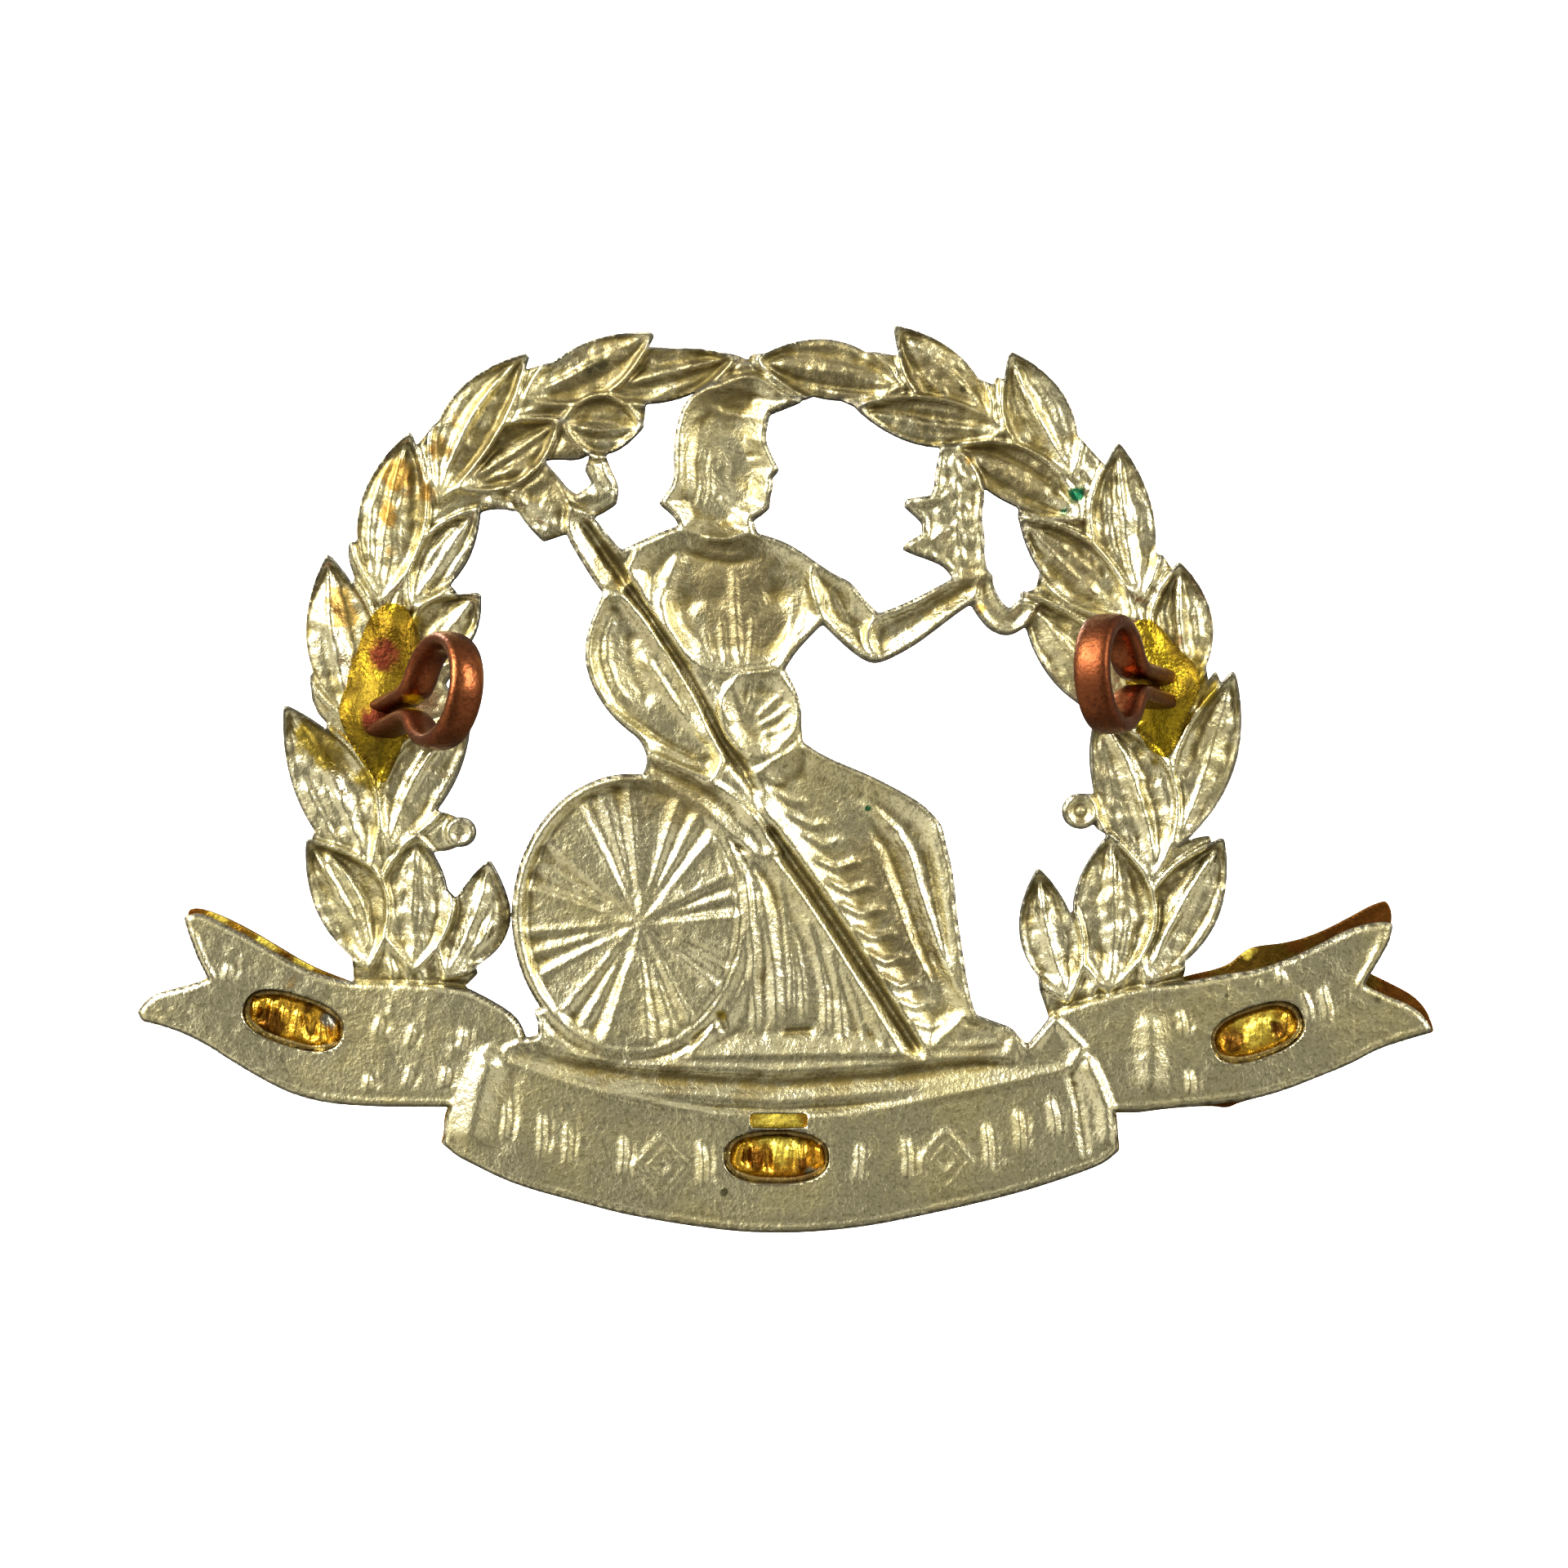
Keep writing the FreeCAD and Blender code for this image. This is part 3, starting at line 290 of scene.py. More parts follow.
FIGURE_LINES = [
    # cloak
    (0.12, 0.13, [(-5.3, 3.0), (-5.6, 2.2), (-5.6, 1.4), (-5.3, 0.5), (-4.8, -0.1)]),
    (-0.12, 0.3, [(-4.9, 2.5), (-4.8, 1.2), (-4.2, -0.2)]),
    (0.16, 0.16, [(-4.5, 1.7), (-3.9, 0.8), (-3.1, -0.4), (-2.2, -1.4)]),
    (-0.08, 0.14, [(-4.0, 1.9), (-3.2, 0.6), (-2.4, -0.7)]),
    (-0.1, 0.12, [(-5.9, 0.3), (-5.2, -0.3), (-4.3, -0.9), (-3.5, -1.4), (-2.5, -1.9)]),
    (0.1, 0.1, [(-5.7, 0.0), (-5.0, -0.6), (-4.1, -1.25), (-3.2, -1.75), (-2.4, -2.2)]),
    (0.12, 0.2, [(-4.2, -1.7), (-3.2, -2.1), (-1.9, -2.9)]),
    (0.07, 0.12, [(-2.8, -3.0), (-1.8, -3.7), (-0.8, -4.6)]),
    # torso
    (0.1, 0.1, [(-3.0, 5.3), (-2.2, 4.95), (-1.5, 4.85), (-0.9, 4.95)]),
    (-0.07, 0.1, [(-3.0, 5.05), (-2.2, 4.7), (-1.5, 4.6), (-0.8, 4.7)]),
    (0.17, 0.24, [(-3.0, 5.2), (-3.5, 4.2), (-3.75, 3.4), (-3.6, 2.6), (-3.2, 1.9), (-2.7, 1.3)]),
    (-0.1, 0.14, [(-4.1, 4.4), (-4.2, 3.6), (-3.9, 2.7)]),
    (0.1, 0.12, [(-1.4, 4.5), (-1.35, 3.2), (-1.2, 1.2)]),
    (0.07, 0.08, [(-1.8, 2.9), (-1.75, 1.9), (-1.6, 1.2)]),
    (0.07, 0.08, [(-2.4, 2.6), (-2.25, 1.9), (-1.95, 1.2)]),
    (0.07, 0.08, [(-0.75, 2.9), (-0.8, 1.9), (-0.9, 1.2)]),
    (0.07, 0.08, [(0.6, 3.0), (0.35, 2.1), (-0.2, 1.3)]),
    (0.06, 0.07, [(1.0, 3.2), (0.75, 2.4), (0.2, 1.5)]),
    (0.09, 0.09, [(-2.1, 0.95), (-1.2, 0.85), (-0.3, 0.98), (0.2, 1.15)]),
    (-0.09, 0.08, [(-2.1, 1.2), (-1.2, 1.08), (-0.3, 1.2), (0.15, 1.35)]),
    # hips
    (0.13, 0.1, [(-1.2, -1.8), (-0.3, -1.92), (0.4, -1.65), (0.78, -1.2)]),
    (0.08, 0.08, [(0.68, 0.4), (0.78, -0.3), (0.75, -1.0)]),
    (0.09, 0.09, [(-2.1, 0.7), (-1.8, -0.1), (-1.4, -0.8)]),
    (0.08, 0.07, [(-1.4, 0.8), (-1.25, 0.2), (-1.0, -0.4)]),
    (0.08, 0.07, [(-0.7, 0.8), (-0.85, 0.1), (-1.0, -0.5)]),
    (0.08, 0.07, [(0.35, 0.4), (-0.2, -0.1), (-0.7, -0.6)]),
    (0.09, 0.08, [(0.5, -0.1), (0.0, -0.5), (-0.6, -0.8)]),
    (0.09, 0.08, [(0.6, -0.6), (0.1, -0.9), (-0.5, -1.1)]),
    (0.07, 0.07, [(0.5, -1.1), (0.1, -1.3), (-0.5, -1.4)]),
    # far arm
    (0.09, 0.12, [(2.35, 3.7), (2.6, 3.0), (3.2, 2.3)]),
    (0.07, 0.08, [(1.8, 3.9), (2.1, 3.2), (2.4, 2.6)]),
    (0.09, 0.12, [(3.6, 1.75), (4.6, 2.35), (5.8, 3.2)]),
    (0.05, 0.08, [(3.7, 2.8), (4.6, 3.2), (5.6, 3.75)]),
    (0.06, 0.08, [(6.2, 3.9), (6.9, 4.1)]),
    # raised arm
    (0.08, 0.1, [(-5.0, 4.6), (-5.6, 5.2), (-6.2, 6.0)]),
    # lap
    (0.11, 0.09, [(-0.5, -2.3), (-0.1, -2.6), (0.3, -2.6)]),
    (0.11, 0.09, [(-0.1, -2.9), (0.6, -3.3), (1.1, -3.25)]),
    (0.13, 0.09, [(0.3, -3.6), (1.2, -4.1), (1.8, -3.95)]),
    (0.13, 0.09, [(0.8, -4.3), (1.6, -4.75), (2.3, -4.5)]),
    (0.15, 0.1, [(1.2, -5.1), (2.0, -5.5), (2.9, -5.2)]),
    (0.15, 0.1, [(1.6, -5.8), (2.4, -6.25), (3.3, -6.0)]),
    (0.15, 0.1, [(2.0, -6.6), (2.8, -7.0), (3.7, -6.8)]),
    (0.15, 0.1, [(2.5, -7.4), (3.2, -7.8), (4.1, -7.6)]),
    (0.15, 0.1, [(2.9, -8.2), (3.6, -8.6), (4.5, -8.4)]),
    (0.15, 0.1, [(3.4, -9.0), (4.1, -9.4), (4.9, -9.2)]),
    (0.13, 0.09, [(3.9, -9.8), (4.6, -10.1), (5.3, -9.9)]),
    (0.11, 0.09, [(4.4, -10.5), (5.1, -10.75), (5.8, -10.5)]),
    # shin
    (0.18, 0.13, [(2.5, -3.1), (3.4, -3.7), (4.0, -4.3), (4.4, -5.0), (4.75, -6.2), (5.1, -7.3),
                  (5.5, -8.5), (6.3, -10.0)]),
    (-0.16, 0.22, [(3.0, -3.9), (3.8, -4.9), (4.25, -6.2), (4.8, -7.8), (5.4, -9.2)]),
    (0.07, 0.08, [(3.3, -5.0), (3.9, -6.4), (4.5, -8.0), (5.4, -9.9)]),
    (0.08, 0.12, [(5.1, -4.2), (5.35, -5.3), (5.6, -6.6), (5.75, -8.0), (6.0, -9.3)]),
    (-0.08, 0.1, [(4.9, -4.6), (5.15, -5.8), (5.4, -7.0), (5.7, -8.5)]),
    # foot
    (-0.12, 0.12, [(6.1, -10.5), (6.8, -10.7), (7.5, -10.9)]),
    (0.09, 0.1, [(5.4, -11.4), (6.6, -11.35), (7.6, -11.25)]),
    # folds between shield and trident
    (0.13, 0.13, [(-1.0, -5.3), (-0.85, -6.8), (-0.75, -8.5), (-0.65, -11.1)]),
    (0.15, 0.2, [(-0.5, -5.8), (-0.25, -7.2), (-0.05, -9.0), (0.05, -10.8)]),
    (0.08, 0.07, [(0.0, -5.5), (0.35, -7.2), (0.5, -8.8), (0.55, -10.6)]),
    (0.08, 0.07, [(0.5, -7.3), (0.85, -9.0), (0.95, -10.6)]),
    (0.12, 0.12, [(0.9, -7.0), (1.4, -8.4), (1.65, -9.6), (1.65, -11.1)]),
    (0.12, 0.14, [(1.7, -8.0), (2.1, -9.6), (2.25, -11.3)]),
    (0.08, 0.08, [(2.1, -8.6), (2.7, -10.2), (3.0, -11.3)]),
    (0.08, 0.08, [(2.9, -10.0), (3.4, -10.9), (3.7, -11.5)]),
    (-0.16, 0.13, [(0.15, -10.95), (0.7, -10.9), (1.3, -10.85)]),
    (-0.14, 0.14, [(-1.9, -10.4), (-1.7, -10.9)]),
]
TRIDENT_UPPER = [
    (-6.4, 6.1), (-5.5, 4.65), (-5.0, 3.95), (-4.3, 2.95), (-3.5, 1.75), (-2.6, 0.25), (-2.1, -0.75),
    (-1.5, -1.7), (-1.0, -2.4), (-0.5, -3.2),
]
TRIDENT_LOWER = [(-0.3, -4.1), (0.35, -5.0), (1.05, -6.0), (2.05, -7.5), (3.1, -9.1), (4.75, -11.65)]
TRIDENT_TINES = [
    (0.14, 0.13, [(-9.6, 6.8), (-8.8, 6.35), (-7.95, 5.65)]),
    (0.12, 0.12, [(-9.2, 7.25), (-8.6, 6.75), (-7.9, 6.15), (-7.3, 5.85)]),
    (-0.14, 0.1, [(-9.1, 6.95), (-8.3, 6.35), (-7.6, 5.75)]),
    (0.16, 0.14, [(-7.75, 8.05), (-7.2, 7.3), (-6.85, 6.6), (-6.6, 6.1)]),
    (0.12, 0.1, [(-6.35, 7.95), (-6.15, 7.4), (-5.8, 6.75)]),
    (0.12, 0.12, [(-5.95, 8.3), (-5.7, 7.6), (-5.35, 7.05)]),
    (0.08, 0.12, [(-6.7, 6.75), (-6.0, 6.9), (-5.3, 6.95)]),
    (0.14, 0.16, [(-9.1, 7.5), (-8.5, 7.7), (-8.0, 7.75)]),
    (-0.12, 0.3, [(-8.3, 6.9), (-7.7, 6.7)]),
]
FIGURE_BUMPS = [  # centre, radius, height
    ((-2.95, 3.3), 0.42, -0.16), ((-2.0, 3.3), 0.28, -0.08), ((0.0, 3.55), 0.5, -0.2),
    ((-2.2, 4.1), 0.4, 0.05), ((-0.7, 4.1), 0.4, 0.04), ((1.45, 3.5), 0.4, 0.14),
    ((-0.8, -3.8), 0.42, 0.18), ((-1.75, -2.5), 0.35, 0.12), ((5.25, -4.3), 0.3, 0.1),
    ((6.75, 4.05), 0.35, 0.08), ((3.4, 1.9), 0.35, -0.08),
]
HEAD_LINES = [
    (0.1, 0.1, [(-0.9, 5.7), (-1.6, 5.35), (-2.4, 5.45)]),
    (0.12, 0.1, [(-2.2, 10.3), (-1.4, 10.45), (-0.6, 10.3), (0.2, 10.0)]),
    (0.1, 0.12, [(-2.9, 9.3), (-2.2, 9.75), (-1.2, 9.55), (-0.3, 9.35)]),
    (-0.13, 0.13, [(-1.9, 9.68), (-1.4, 9.72), (-0.95, 9.6)]),
    (0.07, 0.07, [(-3.0, 8.9), (-3.1, 8.0), (-3.05, 7.2), (-3.3, 6.7)]),
    (0.07, 0.07, [(-2.7, 8.8), (-2.8, 8.0), (-2.75, 7.2), (-2.95, 6.6)]),
    (0.07, 0.07, [(-2.4, 8.6), (-2.5, 7.8), (-2.45, 7.1), (-2.65, 6.4)]),
    (0.06, 0.07, [(-2.1, 8.4), (-2.2, 7.7), (-2.15, 7.0), (-2.35, 6.3)]),
    (0.1, 0.12, [(-1.0, 8.75), (-0.7, 8.7), (-0.4, 8.55)]),
    (-0.08, 0.1, [(-0.95, 8.25), (-0.7, 8.2), (-0.5, 8.2)]),
    (0.06, 0.06, [(-0.95, 8.1), (-0.7, 8.0), (-0.5, 8.08)]),
    (0.06, 0.07, [(-0.5, 7.0), (-0.3, 7.0)]),
    (0.08, 0.1, [(-1.9, 6.9), (-1.4, 6.4), (-0.8, 6.2)]),
]
HEAD_BUMPS = [
    ((-1.3, 7.4), 0.6, -0.14), ((-1.75, 7.9), 0.25, 0.08), ((-1.5, 9.0), 0.5, -0.08),
    ((-0.35, 6.55), 0.22, -0.06), ((-2.5, 9.6), 0.4, -0.06),
]
SPRIG_VEINS = [
    [(5.9, 8.3), (6.0, 7.0), (6.0, 5.5), (6.3, 4.3)], [(6.0, 7.0), (5.2, 6.6), (4.5, 6.6)],
    [(6.0, 5.9), (5.2, 5.4), (4.4, 5.15)], [(6.0, 7.6), (6.6, 7.1)], [(6.0, 6.2), (6.6, 5.9)],
]
SHIELD_RAYS = 8
SHIELD_TURN = 0.11         # radians


def smoothstep(low, high, x):
    t = np.clip((x - low) / (high - low), 0.0, 1.0)
    return t * t * (3 - 2 * t)


def ridge(x, place, half_width):
    """Bell curve of height 1 at x = place."""
    return np.exp(-(((x - place) / half_width) ** 2))


# ------------------------------------------------------------------ sampled relief

U = np.arange(-21.8, 22.6, PITCH)
V = np.arange(-18.2, 13.1, PITCH)
UU, VV = np.meshgrid(U, V)


def window(points, margin=1.2):
    """Part of the sample grid round some points."""
    us = [p[0] for p in points]
    vs = [p[1] for p in points]
    j0 = max(int((min(us) - margin - U[0]) / PITCH), 0)
    j1 = min(int((max(us) + margin - U[0]) / PITCH) + 2, len(U))
    i0 = max(int((min(vs) - margin - V[0]) / PITCH), 0)
    i1 = min(int((max(vs) + margin - V[0]) / PITCH) + 2, len(V))
    return slice(i0, i1), slice(j0, j1)


def smoothed(points, sharpest=38.0, rounds=2):
    """Outline with its gentle corners rounded and its sharp ones kept."""
    for _ in range(rounds):
        out = []
        n = len(points)
        for k in range(n):
            a, b, c = points[k - 1], points[k], points[(k + 1) % n]
            turn = math.atan2(c[1] - b[1], c[0] - b[0]) - math.atan2(b[1] - a[1], b[0] - a[0])
            turn = abs((math.degrees(turn) + 180) % 360 - 180)
            if turn < sharpest:
                out.append((b[0] + (a[0] - b[0]) * 0.25, b[1] + (a[1] - b[1]) * 0.25))
                out.append((b[0] + (c[0] - b[0]) * 0.25, b[1] + (c[1] - b[1]) * 0.25))
            else:
                out.append(b)
        points = out
    return points


def inside_distance(points, win):
    """Distance in mm to a closed outline, over zero inside it."""
    u, v = UU[win], VV[win]
    best = np.full(u.shape, 1e9)
    inside = np.zeros(u.shape, bool)
    for a, b in zip(points, points[1:] + points[:1]):
        du, dv = b[0] - a[0], b[1] - a[1]
        t = np.clip(((u - a[0]) * du + (v - a[1]) * dv) / (du * du + dv * dv + 1e-12), 0, 1)
        best = np.minimum(best, (u - a[0] - t * du) ** 2 + (v - a[1] - t * dv) ** 2)
        if dv:
            inside ^= ((a[1] > v) != (b[1] > v)) & (u < a[0] + (v - a[1]) * du / dv)
    return np.where(inside, 1, -1) * np.sqrt(best)


def line_distance(points, win):
    """Distance to an open line, and how far along it the nearest point is, from 0 to 1."""
    u, v = UU[win], VV[win]
    best = np.full(u.shape, 1e9)
    along = np.zeros(u.shape)
    lengths = [math.dist(a, b) for a, b in zip(points, points[1:])]
    total = sum(lengths)
    done = 0.0
    for a, b, length in zip(points, points[1:], lengths):
        du, dv = b[0] - a[0], b[1] - a[1]
        t = np.clip(((u - a[0]) * du + (v - a[1]) * dv) / (length * length), 0, 1)
        d = (u - a[0] - t * du) ** 2 + (v - a[1] - t * dv) ** 2
        along = np.where(d < best, (done + t * length) / total, along)
        best = np.minimum(best, d)
        done += length
    return np.sqrt(best), along


def line(field, height, half_width, points, fade=0.16):
    """Adds a raised or cut line that dies away at both ends."""
    win = window(points, 3.2 * half_width)
    d, along = line_distance(points, win)
    ends = smoothstep(-0.02, fade, along) * smoothstep(-0.02, fade, 1 - along) if fade else 1.0
    field[win] += height * ends * ridge(d, 0.0, half_width)


def bump(field, centre, radius, height):
    win = window([centre], 3 * radius)
    d2 = (UU[win] - centre[0]) ** 2 + (VV[win] - centre[1]) ** 2
    field[win] += height * np.exp(-d2 / radius**2)


def oval(centre, across, up, tilt=0.0, power=1.0, n=48):
    turn = math.radians(tilt)
    out = []
    for i in range(n):
        a = 2 * math.pi * i / n
        c = math.copysign(abs(math.cos(a)) ** power, math.cos(a)) * across
        s = math.copysign(abs(math.sin(a)) ** power, math.sin(a)) * up
        out.append((centre[0] + c * math.cos(turn) - s * math.sin(turn),
                    centre[1] + c * math.sin(turn) + s * math.cos(turn)))
    return out


def pane_outline(pane, inset=0.0, n=48):
    """Outline of a window, given as in WINDOWS."""
    centre, half_length, half_height, tilt = pane
    return oval(centre, half_length - inset, half_height - inset, tilt, WINDOW_POWER, n)


def leaf_outline(root, tip, width, bow, n=18):
    du, dv = tip[0] - root[0], tip[1] - root[1]
    length = math.hypot(du, dv)
    left = (-dv / length, du / length)
    sides = []
    for sign in (1, -1):
        side = []
        for i in range(n + 1):
            s = i / n
            off = 4 * s * (1 - s) * (bow + sign * width / 2)
            side.append((root[0] + du * s + left[0] * off, root[1] + dv * s + left[1] * off))
        sides.append(side)
    return sides[0] + sides[1][-2:0:-1]


def branch_outline(points):
    one, other = [], []
    for i, (u, v, half) in enumerate(points):
        before, after = points[max(i - 1, 0)], points[min(i + 1, len(points) - 1)]
        du, dv = after[0] - before[0], after[1] - before[1]
        length = math.hypot(du, dv)
        one.append((u - dv / length * half, v + du / length * half))
        other.append((u + dv / length * half, v - du / length * half))
    return smoothed(one + other[::-1], 60)


def blurred(field, sigma):
    """Gaussian blur, sigma in mm."""
    reach = max(int(2.5 * sigma / PITCH), 1)
    weights = np.exp(-0.5 * (np.arange(-reach, reach + 1) * PITCH / sigma) ** 2)
    weights /= weights.sum()
    out = field
    for axis in (0, 1):
        pad = [(reach, reach) if a == axis else (0, 0) for a in (0, 1)]
        padded = np.pad(out, pad, mode="edge")
        n = field.shape[axis]
        out = sum(w * np.take(padded, range(k, k + n), axis=axis) for k, w in enumerate(weights))
    return out


# Fine unevenness of the struck metal, with a spread of 1.
ROUGHCAST = blurred(np.random.default_rng(3).normal(0, 1, UU.shape), 0.12)
ROUGHCAST /= ROUGHCAST.std()


class Relief:
    """One struck sheet: 'inside' is over zero in the metal, and 'back' is the height of its back in mm."""

    def __init__(self, level):
        self.inside = np.full(UU.shape, OUTSIDE)
        self.back = np.full(UU.shape, level)

    def add(self, points):
        win = window(points)
        d = inside_distance(points, win)
        self.inside[win] = np.maximum(self.inside[win], d)
        return win, d

    def pierce(self, points):
        win = window(points)
        self.inside[win] = np.minimum(self.inside[win], -inside_distance(points, win))

    def lay(self, win, d, heights, soft=0.09):
        """Puts new heights over the old ones inside a shape, with a small seam at its edge."""
        share = smoothstep(-soft, soft, d)
        old = self.back[win]
        self.back[win] = old * (1 - share) + heights * share


def leaf_relief(relief, leaf, rng):
    """Back of one leaf: thin rim, a trough on each side of the midrib, and streaks that run root to tip."""
    root, tip, width, bow = leaf
    win, _ = relief.add(leaf_outline(*leaf))
    width *= LEAF_SPREAD
    d = inside_distance(leaf_outline(root, tip, width, bow), win)
    du, dv = tip[0] - root[0], tip[1] - root[1]
    length = math.hypot(du, dv)
    ru, rv = UU[win] - root[0], VV[win] - root[1]
    s = np.clip((ru * du + rv * dv) / length**2, 0, 1)
    across = (rv * du - ru * dv) / length - 4 * s * (1 - s) * bow
    w = np.clip(across / np.maximum(2 * s * (1 - s) * width, 0.05), -1, 1)
    midrib = rng.uniform(-0.14, 0.14) + 0.05 * np.sin(4 * s + rng.uniform(0, 6))
    t = np.where(w > midrib, (w - midrib) / (1 - midrib), (midrib - w) / (1 + midrib))
    trough = np.maximum(4 * t * (1 - t), 0) ** 0.8
    deep = LEAF_DEPTH * rng.uniform(0.85, 1.15) * smoothstep(-0.05, 0.3, s) * (0.8 + 0.35 * s)
    bowl = smoothstep(0.03, 0.3, d)
    heights = LEAF_LEVEL - deep * bowl * (0.42 + 0.58 * trough)
    heights += 0.035 * ridge(d, 0.08, 0.07)
    for _ in range(3):
        place = rng.uniform(-0.75, 0.75)
        begin, end = rng.uniform(0.0, 0.35), rng.uniform(0.6, 1.0)
        vein = smoothstep(begin, begin + 0.2, s) * (1 - smoothstep(end - 0.25, end, s))
        vein = vein * rng.uniform(0.12, 0.3) * deep
        heights += vein * ridge(w, place, 0.1)
    streaks = np.sin(w * rng.uniform(11, 15) + 0.8 * np.sin(3 * s + rng.uniform(0, 6)) + rng.uniform(0, 6))
    heights += 0.08 * deep * bowl * streaks
    hairlines = np.sin(w * rng.uniform(21, 27) + np.sin(4 * s + rng.uniform(0, 6)) + rng.uniform(0, 6))
    heights += 0.028 * deep * bowl * hairlines
    heights += ROUGHCAST[win] * 0.014 * bowl
    relief.lay(win, d, heights, 0.06)
    seam = ridge(d, -0.07, 0.07) * smoothstep(0.2, 0.45, s)
    relief.back[win] -= 0.1 * seam


def part_relief(relief, points, level, depth, reach, soft=0.09, rim=0.05):
    """A hollow with a raised rim, falling to its full depth over 'reach' mm from its edge."""
    win = window(points)
    d = inside_distance(points, win)
    heights = level - depth * smoothstep(0.05, reach, d) + rim * ridge(d, 0.1, 0.1)
    relief.lay(win, d, heights, soft)
    return win, d


def shield_relief(relief):
    """A round shield with ribbed and plain rays about its hub, inside a grooved rim."""
    win, d = relief.add(oval(SHIELD_CENTRE, *SHIELD_RADII, n=72))
    u, v = UU[win] - SHIELD_HUB[0], VV[win] - SHIELD_HUB[1]
    r = np.hypot(u, v)
    angle = np.arctan2(v, u) + SHIELD_TURN
    sector = np.cos(SHIELD_RAYS * angle)
    plain = smoothstep(-0.1, 0.35, sector)
    ribs = np.cos(SHIELD_RAYS * 4 * angle)
    out = smoothstep(0.5, 1.6, r)
    field = -0.2 + 0.05 * plain
    field += 0.05 * (1 - plain) * ribs * smoothstep(0.9, 2.2, r)
    field += 0.06 * ridge(sector, 0.12, 0.24) * out
    field += 0.05 * plain * np.sin(3 * angle + 0.7) * out
    field += 0.06 * u - 0.02 * v
    field += 0.05 * ridge(r, 0.0, 0.5)
    inner = smoothstep(0.34, 0.5, d)
    heights = -0.05 * (1 - inner) + field * inner
    heights -= 0.07 * ridge(d, 0.36, 0.09)
    heights -= 0.05 * smoothstep(0.18, 0.0, d)
    relief.lay(win, d, heights, 0.08)
    relief.back[win] -= 0.12 * ridge(d, -0.12, 0.1)


def scroll_relief(relief):
    """The scroll's three lengths of ribbon, each gently wavy with a soft border along its lower edge."""
    for points, lift in ((LEFT_TAIL, 0.0), (RIGHT_TAIL, 0.0), (PANEL, 0.08)):
        outline = smoothed(points)
        win, d = relief.add(outline)
        u, v = UU[win], VV[win]
        wave = 0.05 * np.sin(u * 0.55 + 0.6) + 0.02 * np.sin(u * 1.7 + v)
        heights = SCROLL_LEVEL + lift + wave
        lower = smoothstep(-0.1, 0.3, np.gradient(blurred(d, 0.15), PITCH, axis=0))
        heights -= 0.035 * lower * ridge(d, 0.32, 0.1)
        heights += 0.025 * lower * ridge(d, 0.16, 0.1)
        relief.lay(win, d, heights, 0.06)
        if points is not PANEL:
            relief.back[win] -= 0.08 * ridge(d, -0.08, 0.08)


# Short upright marks on the scroll's back, each from its lower end to its upper end.
BILLETS = [
    ((-18.3, -9.7), (-18.1, -8.6)), ((-13.6, -12.9), (-13.5, -12.3)), ((-13.2, -11.3), (-13.1, -10.3)),
    ((-12.4, -13.0), (-12.1, -12.0)), ((-12.2, -11.7), (-12.0, -10.6)), ((-11.1, -13.0), (-10.9, -12.0)),
    ((-10.4, -11.7), (-10.3, -10.7)), ((-9.1, -14.9), (-8.9, -12.9)), ((-7.9, -15.5), (-7.75, -13.4)),
    ((-7.0, -15.7), (-6.9, -13.7)), ((-5.1, -16.1), (-5.05, -14.2)), ((-2.5, -16.3), (-2.5, -14.4)),
    ((2.75, -16.3), (2.75, -14.4)), ((4.3, -16.1), (4.25, -14.2)), ((7.0, -15.7), (6.9, -13.7)),
    ((8.1, -15.3), (7.95, -13.3)), ((9.2, -14.9), (9.0, -12.9)), ((13.4, -11.4), (13.3, -10.1)),
    ((13.7, -13.0), (13.6, -12.1)), ((17.8, -11.0), (17.35, -9.4)), ((18.4, -10.8), (18.0, -9.3)),
    ((15.95, -9.8), (15.85, -9.3)), ((16.7, -9.45), (16.6, -8.85)),
]
LOZENGES = [(-3.8, -15.35), (5.6, -15.15)]
FOLDS = [
    (0.17, 0.42, [(12.4, -10.2), (12.45, -11.6), (12.4, -13.0)], 0.2),
    # notched ends of the tails
    (0.09, 0.13, [(20.15, -7.6), (19.75, -8.5), (19.2, -9.6)], 0.15),
    (0.09, 0.13, [(-19.35, -7.5), (-19.0, -8.4), (-18.6, -9.3)], 0.15),
    # rolled ends of the middle panel
    (0.24, 0.46, [(-9.4, -11.6), (-9.8, -12.9), (-10.2, -14.6)], 0.12),
    (-0.06, 0.3, [(-8.6, -12.0), (-8.9, -13.3), (-9.2, -15.0)], 0.12),
    (0.16, 0.25, [(10.2, -11.7), (10.6, -12.6), (10.9, -13.4), (11.0, -14.7)], 0.12),
    (-0.1, 0.15, [(9.7, -12.0), (10.0, -13.3), (10.3, -15.1)], 0.12),
]


